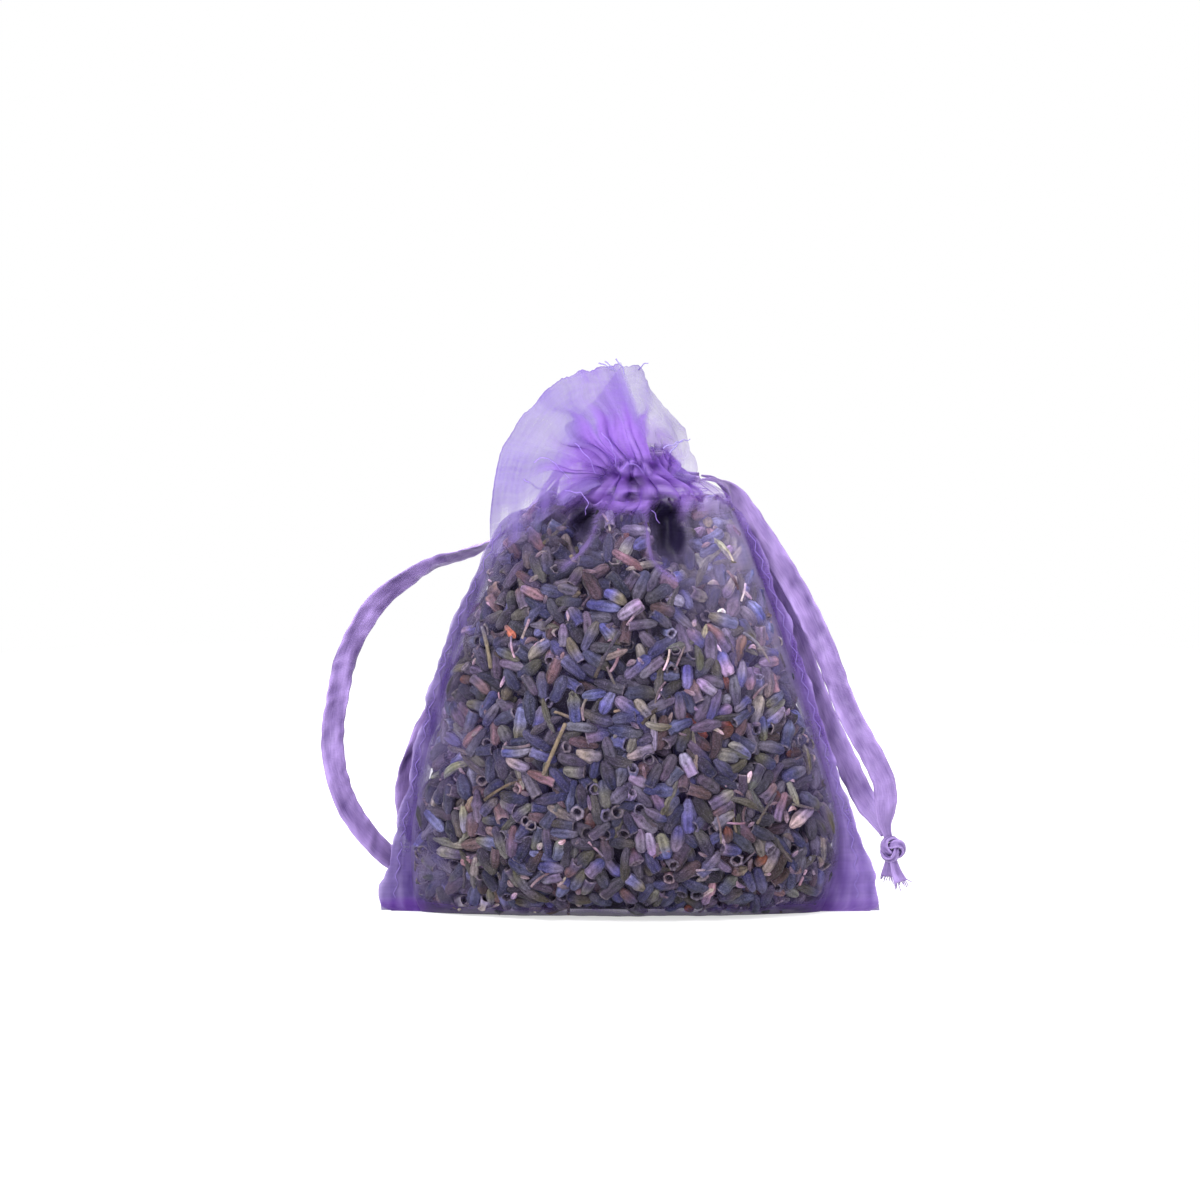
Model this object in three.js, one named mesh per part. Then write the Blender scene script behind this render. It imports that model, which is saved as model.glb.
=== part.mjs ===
// Lavender sachet: a small organza drawstring pouch, filled with dried lavender buds and tied at the neck.
// Millimetres, +Z up, +X to the right and -Y to the front. The origin is the middle of the base.
import * as THREE from 'three';
import { mergeVertices } from 'three/addons/utils/BufferGeometryUtils.js';

// Driving sizes of the filled body
const pouchWidth = 70;
const pouchDepth = 30;
const bodyHeight = 58.4;
const clothWall = 0.5;
const foldedEdgeWall = 0.8;
const seamWall = 1.4;
const clearance = 0.3;

// Driving sizes of the drawstring channel round the neck
const neckOffset = 2.1;
const neckHalfLength = 6.8;
const neckHalfDepth = 5;
const stitchMargin = 1;
const pleatDepth = 0.5;
const liningHalfLength = 2.2;
const liningHalfDepth = 2;

// Driving sizes of the ribbons
const ribbonWidth = 3.2;
const ribbonWall = 0.4;
const gatheredRibbonWidth = 2.4;
const ribbonLegSpacing = 5.2;
const ribbonReach = 7.1;
const ribbonBendCentre = 3.2;
const pinchedRibbonWidth = 1;
const pinchLength = 6;
const knotRadius = 1.45;
const knotStrandRadius = 0.65;
const tailWidth = 2.6;

// Driving sizes of the ruffle above the neck
const ruffleReach = 20;
const ruffleRise = 7;
const ruffleFoldDepth = 0.8;

// Driving sizes of the sewing thread
const threadRadius = 0.2;
const stitchLength = 2.6;
const stitchSwing = 0.45;
const seamThreadInset = 1.1;
const seamThreadStart = 2;

// Driving sizes of the lavender
const budLength = 5.6;
const budRadius = 1.05;
const budLayer = 3;
const stemLength = 10.5;
const stemRadius = 0.45;
const leafLength = 7.5;
const leafHalfWidth = 0.9;
const leafHalfWall = 0.4;

// Counts
const panelColumns = 28;
const casingColumns = 36;
const casingPleats = 8;
const ruffleColumns = 24;
const ruffleRows = 6;
const ruffleFolds = 3;
const ribbonSteps = 40;
const tailSteps = 4;
const ringSteps = 12;
const threadSides = 4;
const knotSteps = 40;
const knotSides = 5;
const budSides = 7;
const budCount = 24;
const stemCount = 3;
const leafCount = 2;

// Body outline from the base to the neck: shares of the body height, of half the pouch width
// for the cloth's edge, the fill and the lean to the right, and of half the pouch depth
const bodyShares = [
  { height: 0, edge: 1, fill: 0.83, depth: 0.26, lean: 0 },
  { height: 0.02, edge: 1, fill: 0.845, depth: 0.5, lean: 0 },
  { height: 0.055, edge: 0.99, fill: 0.86, depth: 0.72, lean: 0 },
  { height: 0.11, edge: 0.965, fill: 0.868, depth: 0.88, lean: 0 },
  { height: 0.2, edge: 0.92, fill: 0.855, depth: 0.98, lean: -0.01 },
  { height: 0.3, edge: 0.87, fill: 0.815, depth: 1, lean: -0.018 },
  { height: 0.42, edge: 0.815, fill: 0.762, depth: 0.99, lean: -0.028 },
  { height: 0.55, edge: 0.752, fill: 0.7, depth: 0.96, lean: -0.034 },
  { height: 0.68, edge: 0.68, fill: 0.63, depth: 0.9, lean: -0.034 },
  { height: 0.8, edge: 0.595, fill: 0.55, depth: 0.81, lean: -0.028 },
  { height: 0.89, edge: 0.53, fill: 0.49, depth: 0.7, lean: -0.022 },
  { height: 0.95, edge: 0.475, fill: 0.44, depth: 0.58, lean: -0.015 },
  { height: 0.98, edge: 0.41, fill: 0.385, depth: 0.46, lean: 0.005 },
  { height: 1, edge: 0.32, fill: 0.3, depth: 0.37, lean: 0.04 },
];
const seamTopShare = 0.98;
const heapTopShare = 0.985;
const sectionPinch = 1.25;

// Folds pressed into the front and the back below the neck: rows of height, x, depth and spread,
// as shares of the body height, of half the pouch width, of its half depth and of half its width
const frontFolds = [
  [
    [0.84, -0.29, 0, 0.05], [0.88, -0.24, 0.08, 0.046],
    [0.93, -0.2, 0.135, 0.045], [1, -0.172, 0.16, 0.042],
  ],
  [
    [0.84, 0.19, 0, 0.055], [0.88, 0.155, 0.12, 0.054],
    [0.93, 0.137, 0.176, 0.052], [1, 0.126, 0.18, 0.046],
  ],
];
const backFolds = [
  [[0.84, -0.15, 0, 0.057], [0.9, -0.11, 0.11, 0.054], [1, -0.05, 0.125, 0.042]],
  [[0.84, 0.24, 0, 0.054], [0.9, 0.2, 0.1, 0.052], [1, 0.13, 0.115, 0.042]],
];
const heapFoldGain = 1.8;

// Ruffle edges from left to right, as shares of the ruffle's reach from the middle of the neck's top
const frontRuffleShares = [
  { across: -0.98, front: -0.3, up: -0.52 },
  { across: -1.04, front: -0.38, up: -0.22 },
  { across: -0.9, front: -0.4, up: 0.1 },
  { across: -0.64, front: -0.37, up: 0.35 },
  { across: -0.3, front: -0.33, up: 0.46 },
  { across: 0.06, front: -0.34, up: 0.42 },
  { across: 0.3, front: -0.32, up: 0.14 },
  { across: 0.37, front: -0.27, up: -0.12 },
];
const backRuffleShares = [
  { across: -0.6, front: 0.2, up: 0.16 },
  { across: -0.5, front: 0.26, up: 0.38 },
  { across: -0.28, front: 0.32, up: 0.5 },
  { across: -0.06, front: 0.34, up: 0.545 },
  { across: 0.12, front: 0.34, up: 0.5 },
  { across: 0.26, front: 0.3, up: 0.3 },
  { across: 0.38, front: 0.24, up: 0.1 },
  { across: 0.42, front: 0.18, up: -0.06 },
];
const ruffleBendShare = 0.4;
const lowRiseShare = 0.2;
const riseGainShare = 2;
const ruffleFootShare = 0.84;

// A dried lavender calyx: shares of the bud's length and of its radius, from stalk to open mouth
const budProfileShares = [
  [0, 0], [0.34, 0.02], [0.72, 0.2], [1, 0.48], [0.94, 0.74], [0.7, 1], [0.4, 0.97], [0, 0.88],
];
const budLowShare = 0.1;
const budHighShare = 0.84;
const budTurnShare = 0.62;

// Ribbon routes from the neck to the knots: x, y, z, then the direction of the ribbon's width
const leftFrontRoute = [
  [-5.8, -2.6, 63.6, 0, 0, 1], [-7.2, -1.7, 63.4, 0, 0.2, 1], [-9.2, 0.3, 62.4, 0.1, 0.4, 0.9],
  [-11.2, 2.8, 60, 0.2, 0.7, 0.6], [-13.4, 5.8, 56.6, 0.2, 0.9, 0.3], [-17.2, 8.2, 52.6, 0.1, 1, 0],
  [-22.2, 9.6, 49.5, 0.2, 0.88, -0.45], [-28.9, 9.6, 47.1, 0.3, 0.72, -0.62],
  [-32.4, 9.4, 44.9, 0.5, 0.5, -0.7], [-35.6, 9, 42, 0.7, 0.35, -0.6],
  [-37.9, 8.6, 38.7, 0.85, 0.3, -0.4], [-39.6, 8.2, 34.6, 1, 0.3, -0.2],
  [-40.8, 7.8, 30.2, 1, 0.3, 0], [-41.5, 7.4, 25.6, 1, 0.2, 0], [-41.6, 7.2, 21.6, 1, 0.1, 0],
  [-40.9, 7.2, 17.4, 1, 0.2, 0.1], [-39.5, 7.4, 13.6, 1, 0.3, 0.3], [-37.7, 7.8, 10.6, 0.9, 0.4, 0.5],
  [-35.6, 8.4, 8, 0.7, 0.5, 0.7], [-33.2, 9.2, 5.8, 0.5, 0.5, 0.9], [-30.8, 10.6, 3.9, 0.1, 0.3, 1],
];
const leftBackRoute = [
  [-5.8, 2.6, 63.6, 0, 0, 1], [-7.4, 3.6, 63.2, 0, 0.2, 1], [-9.4, 5.8, 61, 0.4, 0.3, 0.8],
  [-11.8, 8.2, 56.4, 0.7, 0.2, 0.5], [-15, 9.6, 50, 1, 0.2, 0.3], [-17.6, 9.8, 44.4, 1, 0.3, 0.3],
  [-20.6, 9.4, 38.6, 1, 0.4, 0.3], [-23.8, 8.8, 33, 1, 0.4, 0.3], [-26.8, 8.2, 27.6, 1, 0.4, 0.3],
  [-29.5, 7.8, 22.8, 1, 0.4, 0.2], [-31, 7.8, 18.6, 1, 0.4, 0.1], [-31.4, 8.2, 15, 1, 0.3, 0],
  [-30.9, 9, 11.6, 1, 0.2, -0.1], [-29.7, 10, 8.8, 1, 0.1, -0.2], [-28.3, 10.9, 6.9, 1, 0, -0.2],
];
const rightFrontRoute = [
  [10, -2.6, 60.9, 0, 0, 1], [11.2, -2, 60.8, 0, 0.2, 1], [12.6, 0, 60.2, 0.1, 0.8, 0.5],
  [14.2, 2.8, 58.8, 0.4, 0.7, 0.5], [15.9, 3.9, 56.2, 0.8, 0.3, 0.4], [18.1, 3, 52.9, 1, -0.1, 0.3],
  [20.5, 2.2, 49.3, 1, -0.1, 0.3], [23.1, 1.8, 45, 1, 0.1, 0.4], [25.3, 1.4, 40.8, 1, 0, 0.4],
  [27.1, 0.7, 36.8, 1, -0.1, 0.4], [28.8, 0, 32.2, 1, -0.2, 0.4], [30.8, -0.7, 27.4, 1, -0.1, 0.4],
  [32.9, -1.1, 23.6, 1, 0, 0.5], [34.7, -1.4, 20.2, 1, 0, 0.4], [35.6, -1.5, 17.4, 1, 0.1, 0.2],
  [35.6, -1.4, 14.8, 1, 0.2, 0], [35.6, -1.2, 12.5, 1, 0.3, 0],
];
const rightBackRoute = [
  [10, 2.6, 60.9, 0, 0, 1], [11.4, 3.4, 60.5, 0, 0.3, 1], [13.2, 4.8, 59, 0.4, 0.4, 0.8],
  [15, 5.6, 56.2, 0.8, 0.2, 0.4], [16.9, 5.2, 52.9, 1, 0.1, 0.3], [18.7, 4.6, 49.3, 1, 0, 0.4],
  [20.5, 3.9, 45.4, 1, 0, 0.4], [22, 3.6, 41.4, 1, 0, 0.4], [23.6, 3.4, 37.2, 1, 0.1, 0.4],
  [25.2, 3.2, 32.6, 1, 0.1, 0.4], [27, 3, 27.8, 1, 0.2, 0.4], [28.9, 2.8, 23.6, 1, 0.2, 0.4],
  [30.8, 2.6, 19.6, 1, 0.2, 0.4], [32.6, 2.2, 16, 1, 0.1, 0.3], [34.6, 1.1, 12.6, 1, 0, 0.2],
];
const leftKnotPlace = [-27.2, 11.7, 3.4];
const rightKnotPlace = [36.4, -0.9, 9];
const leftFrontTail = [
  [-23.8, 12, 2.9, 0, 1, 0.3], [-22.2, 12.5, 1.8, 0, 1, 0.1], [-20, 13.4, 1, 0, 1, 0],
];
const leftBackTail = [
  [-26.4, 13.7, 2.9, 1, 0.2, 0], [-26, 15.2, 1.9, 1, 0.2, 0], [-25.6, 17.2, 1, 1, 0.1, 0],
];
const rightFrontTail = [
  [37.2, -1.6, 5.8, 1, 0.2, 0], [37.7, -2.2, 4.6, 1, 0.2, 0], [38.2, -2.4, 3, 1, 0.1, 0],
];
const rightBackTail = [
  [36.2, 0.7, 5.9, 1, -0.2, 0], [36.1, 1.3, 4.8, 1, -0.2, 0], [36.2, 1.7, 3.4, 1, -0.1, 0],
];

// Sizes worked out from the driving sizes
const halfWidth = pouchWidth / 2;
const halfDepth = pouchDepth / 2;
const quarterTurn = Math.PI / 2;
const goldenShare = (Math.sqrt(5) - 1) / 2;
const channelBottom = bodyHeight + clearance;
const rightRibbonZ = channelBottom + stitchMargin + gatheredRibbonWidth / 2;
const leftRibbonZ = rightRibbonZ + gatheredRibbonWidth + clearance;
const channelTop = leftRibbonZ + gatheredRibbonWidth / 2 + stitchMargin;
const ruffleFoot = channelTop + clearance;

// Materials
const organza = new THREE.MeshStandardMaterial({
  color: 0xa98ae0, roughness: 0.55, metalness: 0,
  transparent: true, opacity: 0.45, side: THREE.DoubleSide,
});
const seamCloth = new THREE.MeshStandardMaterial({ color: 0x8a68c8, roughness: 0.6, metalness: 0 });
const gatheredCloth = new THREE.MeshStandardMaterial({ color: 0x7b52bd, roughness: 0.6, metalness: 0 });
const sewingThread = new THREE.MeshStandardMaterial({ color: 0x9b7fd0, roughness: 0.7, metalness: 0 });
const ribbonCloth = new THREE.MeshStandardMaterial({ color: 0xa688ce, roughness: 0.45, metalness: 0 });
const lavenderMass = new THREE.MeshStandardMaterial({ color: 0x4c4458, roughness: 0.95, metalness: 0 });
const budMaterials = [0x6a6a94, 0x7d7a80, 0x84827a, 0x8d7472].map(
  (color) => new THREE.MeshStandardMaterial({ color, roughness: 0.9, metalness: 0 }),
);
const stemMaterial = new THREE.MeshStandardMaterial({ color: 0x9a8f72, roughness: 0.9, metalness: 0 });
const leafMaterial = new THREE.MeshStandardMaterial({ color: 0x7b8069, roughness: 0.9, metalness: 0 });

const sachet = new THREE.Group();

// Six times the signed volume of a triangle list
function signedVolume(points, faces) {
  let volume = 0;
  for (const [a, b, c] of faces) {
    volume += points[a].dot(new THREE.Vector3().crossVectors(points[b], points[c]));
  }
  return volume;
}

// A geometry from points and triangles, turned so that its faces point out
function solidOf(points, faces) {
  const inside = signedVolume(points, faces) < 0;
  const places = points.flatMap((p) => [p.x, p.y, p.z]);
  const geometry = new THREE.BufferGeometry();
  geometry.setAttribute('position', new THREE.Float32BufferAttribute(places, 3));
  geometry.setIndex(faces.flatMap(([a, b, c]) => (inside ? [a, c, b] : [a, b, c])));
  geometry.computeVertexNormals();
  return geometry;
}

// A library geometry as one merged solid
function mergedSolid(geometry) {
  geometry.deleteAttribute('normal');
  geometry.deleteAttribute('uv');
  const merged = mergeVertices(geometry);
  const place = merged.getAttribute('position');
  const pointAt = (i) => new THREE.Vector3().fromBufferAttribute(place, i);
  const points = Array.from({ length: place.count }, (_, i) => pointAt(i));
  const order = Array.from(merged.getIndex().array);
  const faces = [];
  for (let i = 0; i < order.length; i += 3) {
    const face = order.slice(i, i + 3);
    if (new Set(face).size === 3) faces.push(face);
  }
  return solidOf(points, faces);
}

// Two triangles for each cell between two rows of points
function bandFaces(firstRow, secondRow) {
  const faces = [];
  for (let i = 0; i + 1 < firstRow.length; i += 1) {
    faces.push([firstRow[i], firstRow[i + 1], secondRow[i + 1]]);
    faces.push([firstRow[i], secondRow[i + 1], secondRow[i]]);
  }
  return faces;
}

// A sheet of cloth as a solid between an outer and an inner grid of points
function sheetSolid(outer, inner) {
  const points = [...outer.flat(), ...inner.flat()];
  const columns = outer[0].length;
  const indexRows = (start) => outer.map((row, r) => row.map((_, c) => start + r * columns + c));
  const outerRows = indexRows(0);
  const innerRows = indexRows(outer.length * columns);
  const last = outer.length - 1;
  const column = (rows, c) => rows.map((row) => row[c]);
  const faces = [];
  for (let r = 0; r < last; r += 1) {
    faces.push(...bandFaces(outerRows[r], outerRows[r + 1]), ...bandFaces(innerRows[r + 1], innerRows[r]));
  }
  faces.push(...bandFaces(innerRows[0], outerRows[0]), ...bandFaces(outerRows[last], innerRows[last]));
  faces.push(...bandFaces(column(outerRows, 0), column(innerRows, 0)));
  faces.push(...bandFaces(column(innerRows, columns - 1), column(outerRows, columns - 1)));
  return solidOf(points, faces);
}

// A solid through closed rings of points, with flat ends
function loftSolid(rings) {
  const points = rings.flat();
  const sides = rings[0].length;
  const ringRow = (r) => [...rings[0].map((_, i) => r * sides + i), r * sides];
  const faces = [];
  for (let r = 0; r + 1 < rings.length; r += 1) {
    faces.push(...bandFaces(ringRow(r), ringRow(r + 1)));
  }
  const lastRow = ringRow(rings.length - 1).reverse();
  for (const [row, ends] of [[ringRow(0), rings[0]], [lastRow, rings[rings.length - 1]]]) {
    const middle = ends.reduce((sum, p) => sum.add(p), new THREE.Vector3()).divideScalar(sides);
    const hub = points.push(middle) - 1;
    faces.push(...row.slice(1).map((point, i) => [row[i], hub, point]));
  }
  return solidOf(points, faces);
}

// One named mesh of the sachet
function addPiece(name, geometry, material) {
  const mesh = new THREE.Mesh(geometry, material);
  mesh.name = name;
  sachet.add(mesh);
  return mesh;
}

// The body's half sizes and lean at a height, in millimetres
function bodyAt(height) {
  const share = height / bodyHeight;
  const above = bodyShares.findIndex((station) => station.height >= share && station.height > 0);
  const high = bodyShares[above < 0 ? bodyShares.length - 1 : above];
  const low = bodyShares[bodyShares.indexOf(high) - 1];
  const part = (share - low.height) / (high.height - low.height);
  const mix = (key, unit) => unit * (low[key] + part * (high[key] - low[key]));
  return {
    height, edge: mix('edge', halfWidth), fill: mix('fill', halfWidth),
    depth: mix('depth', halfDepth), lean: mix('lean', halfWidth),
  };
}

// How far the folds press the front or the back in at a point
function foldDepth(x, height, side) {
  const share = height / bodyHeight;
  return (side < 0 ? frontFolds : backFolds).reduce((sum, rows) => {
    const above = rows.findIndex((row) => row[0] >= share);
    if (above < 1) return sum;
    const low = rows[above - 1];
    const part = (share - low[0]) / (rows[above][0] - low[0]);
    const [, middle, deep, spread] = low.map((value, i) => value + part * (rows[above][i] - value));
    const away = (x - middle * halfWidth) / (spread * halfWidth);
    return sum + deep * halfDepth * Math.exp(-away * away);
  }, 0);
}

// A point of the lens-shaped section, drawn in from the cloth's outside; side is -1 in front and 1 behind
function sectionPoint(station, side, turn, sideInset, depthInset, seamGap = clearance / 2, foldGain = 1) {
  const x = station.lean + (station.fill - sideInset) * Math.sin(turn);
  const out = (station.depth - depthInset) * Math.max(Math.cos(turn), 0) ** sectionPinch;
  const pressed = Math.max(out - foldGain * foldDepth(x, station.height, side), Math.min(out, clothWall));
  return new THREE.Vector3(x, side * (seamGap + pressed), station.height);
}

// A row of points across the front or the back
function panelRow(station, side, sideInset, depthInset) {
  return Array.from({ length: panelColumns + 1 }, (_, c) => {
    const turn = (2 * c / panelColumns - 1) * quarterTurn;
    return sectionPoint(station, side, turn, sideInset, depthInset);
  });
}

const stations = bodyShares.map((share) => bodyAt(share.height * bodyHeight));

// Front and back of the pouch
function addPanel(name, side) {
  const outer = stations.map((station) => panelRow(station, side, 0, 0));
  const inner = stations.map((station) => panelRow(station, side, foldedEdgeWall, clothWall));
  addPiece(name, sheetSolid(outer, inner), organza);
}

// The bottom fold, which lies flat between the front and the back
function addBase() {
  const foot = stations[0];
  const outline = [-1, 1].flatMap((side) => {
    const row = panelRow(foot, side, foldedEdgeWall + clearance, clothWall + clearance);
    return side < 0 ? row : row.reverse();
  });
  const lifted = outline.map((p) => p.clone().setZ(clothWall));
  addPiece('base_panel', loftSolid([outline, lifted]), seamCloth);
}

// The sewn edge of one side, with the flat corner that stands out at its foot
function addSideSeam(name, side) {
  const seamStations = stations.filter((station) => station.height <= seamTopShare * bodyHeight);
  const rings = seamStations.map((station) => {
    const inner = station.lean + side * (station.fill + clearance);
    const outer = station.lean + side * station.edge;
    return [[inner, -1], [outer, -1], [outer, 1], [inner, 1]].map(
      ([x, face]) => new THREE.Vector3(x, face * seamWall / 2, station.height),
    );
  });
  addPiece(name, loftSolid(rings), seamCloth);
}

// A round thread along a row of points; its section is set square to a direction it never takes
function threadSolid(path, square) {
  const rings = path.map((point, i) => {
    const before = path[Math.max(i - 1, 0)];
    const after = path[Math.min(i + 1, path.length - 1)];
    const along = after.clone().sub(before).normalize();
    const across = square.clone().cross(along).normalize();
    const third = across.clone().cross(along);
    return Array.from({ length: threadSides }, (_, s) => {
      const angle = 2 * Math.PI * s / threadSides;
      return point.clone()
        .addScaledVector(across, threadRadius * Math.cos(angle))
        .addScaledVector(third, threadRadius * Math.sin(angle));
    });
  });
  return loftSolid(rings);
}

// Zigzag stitching down the face of a side seam
function addSeamThread(name, side) {
  const top = seamTopShare * bodyHeight - seamThreadStart;
  const stitches = Math.max(Math.round((top - seamThreadStart) / stitchLength) * 2, 2);
  const path = Array.from({ length: stitches + 1 }, (_, i) => {
    const height = seamThreadStart + (top - seamThreadStart) * i / stitches;
    const station = bodyAt(height);
    const swing = i % 2 === 0 ? stitchSwing : -stitchSwing;
    const x = station.lean + side * (station.fill + clearance + seamThreadInset + swing);
    return new THREE.Vector3(x, -(seamWall / 2 + clearance + threadRadius), height);
  });
  addPiece(name, threadSolid(path, new THREE.Vector3(0, 1, 0)), sewingThread);
}

// A point of the ellipse that the channel runs round; angle 0 points to the right
function channelPoint(angle, grown, height) {
  const x = neckOffset + (neckHalfLength + grown) * Math.cos(angle);
  return new THREE.Vector3(x, (neckHalfDepth + grown) * Math.sin(angle), height);
}

// A row of points across the front or the back of the channel, along its pleats and drawn out by a distance
function channelRow(side, height, out) {
  const slotHalfDepth = ribbonLegSpacing / 2 + ribbonWall / 2 + clearance;
  const slotAngle = Math.asin(slotHalfDepth / (neckHalfDepth - clothWall));
  return Array.from({ length: casingColumns + 1 }, (_, c) => {
    const angle = side * (slotAngle + (Math.PI - 2 * slotAngle) * c / casingColumns);
    const pleat = pleatDepth * (1 - Math.cos(2 * Math.PI * casingPleats * c / casingColumns)) / 2;
    return channelPoint(angle, out + pleat, height);
  });
}

// Front or back of the pleated channel; both stay open at the sides, where the ribbons come out
function addCasing(name, side) {
  const heights = [channelBottom, channelTop];
  const outer = heights.map((height) => channelRow(side, height, 0));
  const inner = heights.map((height) => channelRow(side, height, -clothWall));
  addPiece(name, sheetSolid(outer, inner), gatheredCloth);
}

// The bunched inner layer that the ribbons draw together
function addLining() {
  const ring = (height) => Array.from({ length: casingColumns }, (_, i) => {
    const angle = 2 * Math.PI * i / casingColumns;
    const pleat = 1 - pleatDepth / liningHalfDepth * (1 - Math.cos(casingPleats * angle)) / 2;
    const x = neckOffset + liningHalfLength * pleat * Math.cos(angle);
    return new THREE.Vector3(x, liningHalfDepth * pleat * Math.sin(angle), height);
  });
  addPiece('gathered_lining', loftSolid([ring(channelBottom), ring(channelTop)]), gatheredCloth);
}

// A stitch line over the pleats of the channel, above or below the ribbons
function addChannelThread(name, side, height) {
  const path = channelRow(side, height, clearance + threadRadius);
  addPiece(name, threadSolid(path, new THREE.Vector3(0, 0, 1)), sewingThread);
}

// The fanned cloth above the neck, front or back, with shallow folds that open towards its edge
function addRuffle(name, side, edgeShares) {
  const edge = new THREE.CatmullRomCurve3(edgeShares.map((share) => new THREE.Vector3(
    neckOffset + share.across * ruffleReach, share.front * ruffleReach, ruffleFoot + share.up * ruffleReach,
  )));
  const pointAt = (across, up) => {
    const angle = Math.PI * (1 - across);
    const foot = new THREE.Vector3(
      neckOffset + neckHalfLength * ruffleFootShare * Math.cos(angle),
      side * (clearance + neckHalfDepth * ruffleFootShare * Math.sin(angle)),
      ruffleFoot,
    );
    const tip = edge.getPoint(across);
    const middle = foot.clone().lerp(tip, ruffleBendShare);
    middle.z = foot.z + ruffleRise * Math.min(lowRiseShare + across * riseGainShare, 1);
    const point = foot.lerp(middle, up).lerp(middle.lerp(tip, up), up);
    point.y += ruffleFoldDepth * up * Math.sin(2 * Math.PI * ruffleFolds * across);
    return point;
  };
  const nudge = 0.001;
  const face = (across, up, out) => {
    const point = pointAt(across, up);
    const alongAcross = pointAt(Math.min(across + nudge, 1), up);
    alongAcross.sub(pointAt(Math.max(across - nudge, 0), up));
    const alongUp = pointAt(across, Math.min(up + nudge, 1));
    alongUp.sub(pointAt(across, Math.max(up - nudge, 0)));
    const lifted = point.addScaledVector(alongAcross.cross(alongUp).normalize(), out * clothWall / 2);
    if (up === 0) lifted.z = ruffleFoot;
    return lifted;
  };
  const grid = (out) => Array.from({ length: ruffleRows + 1 }, (_, r) => Array.from(
    { length: ruffleColumns + 1 }, (_unused, c) => face(c / ruffleColumns, r / ruffleRows, out),
  ));
  addPiece(name, sheetSolid(grid(1), grid(-1)), organza);
}

// A flat ribbon along a route whose points also give the direction of its width
function ribbonSolid(route, steps, widthAt) {
  const places = new THREE.CatmullRomCurve3(route.map(([x, y, z]) => new THREE.Vector3(x, y, z)));
  const widths = new THREE.CatmullRomCurve3(route.map(([, , , x, y, z]) => new THREE.Vector3(x, y, z)));
  const length = places.getLength();
  const rings = Array.from({ length: steps + 1 }, (_, i) => {
    const share = i / steps;
    const turned = places.getUtoTmapping(share);
    const along = places.getTangent(turned);
    const across = widths.getPoint(turned);
    across.addScaledVector(along, -across.dot(along)).normalize();
    const face = along.clone().cross(across);
    const half = widthAt(share * length) / 2;
    return [[-1, -1], [1, -1], [1, 1], [-1, 1]].map(([w, t]) => places.getPoint(turned)
      .addScaledVector(across, w * half)
      .addScaledVector(face, t * ribbonWall / 2));
  });
  return loftSolid(rings);
}

// The ribbon's turn inside the channel: two straight legs out at one side, joined by a bend at the other
function addRibbonTurn(name, side, height) {
  const legY = ribbonLegSpacing / 2;
  const end = neckOffset + side * ribbonReach;
  const bend = neckOffset - side * ribbonBendCentre;
  const path = [new THREE.Vector3(end, -legY, height)];
  for (let i = 0; i <= ringSteps; i += 1) {
    const angle = Math.PI * i / ringSteps;
    path.push(new THREE.Vector3(bend - side * legY * Math.sin(angle), -legY * Math.cos(angle), height));
  }
  path.push(new THREE.Vector3(end, legY, height));
  const rings = path.map((point, i) => {
    const angle = Math.PI * Math.min(Math.max(i - 1, 0), ringSteps) / ringSteps;
    const out = new THREE.Vector3(-side * Math.sin(angle), -Math.cos(angle), 0);
    return [[-1, -1], [1, -1], [1, 1], [-1, 1]].map(([t, w]) => point.clone()
      .addScaledVector(out, t * ribbonWall / 2)
      .add(new THREE.Vector3(0, 0, w * gatheredRibbonWidth / 2)));
  });
  addPiece(name, loftSolid(rings), ribbonCloth);
}

// The two free strands of one drawstring, the overhand knot that joins them and its two tails
function addRibbonLoop(hand, routes, tails, knotPlace) {
  const strandWidth = (along) => {
    const open = Math.min(along / pinchLength, 1);
    return pinchedRibbonWidth + (ribbonWidth - pinchedRibbonWidth) * Math.sin(open * quarterTurn);
  };
  addPiece(`${hand}_front_strand`, ribbonSolid(routes[0], ribbonSteps, strandWidth), ribbonCloth);
  addPiece(`${hand}_back_strand`, ribbonSolid(routes[1], ribbonSteps, strandWidth), ribbonCloth);
  const tailSpread = () => tailWidth;
  addPiece(`${hand}_front_tail`, ribbonSolid(tails[0], tailSteps, tailSpread), ribbonCloth);
  addPiece(`${hand}_back_tail`, ribbonSolid(tails[1], tailSteps, tailSpread), ribbonCloth);
  const knot = addPiece(`${hand}_knot`, mergedSolid(
    new THREE.TorusKnotGeometry(knotRadius, knotStrandRadius, knotSteps, knotSides, 2, 3),
  ), ribbonCloth);
  knot.position.set(...knotPlace);
  knot.rotation.x = quarterTurn;
}

// The inner mass of packed buds
function addHeap() {
  const sideInset = foldedEdgeWall + budLayer + clearance;
  const depthInset = clothWall + budLayer;
  const floor = clothWall + clearance;
  const top = heapTopShare * bodyHeight;
  const between = stations.map((station) => station.height).filter((z) => z > floor && z < top);
  const rings = [floor, ...between, top].map((height) => {
    const station = bodyAt(height);
    const half = (side) => Array.from({ length: panelColumns }, (_, c) => {
      const turn = side * (1 - 2 * c / panelColumns) * quarterTurn;
      return sectionPoint(station, side, turn, sideInset, depthInset, 0, heapFoldGain);
    });
    return [...half(-1), ...half(1)];
  });
  addPiece('lavender_heap', loftSolid(rings), lavenderMass);
}

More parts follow.
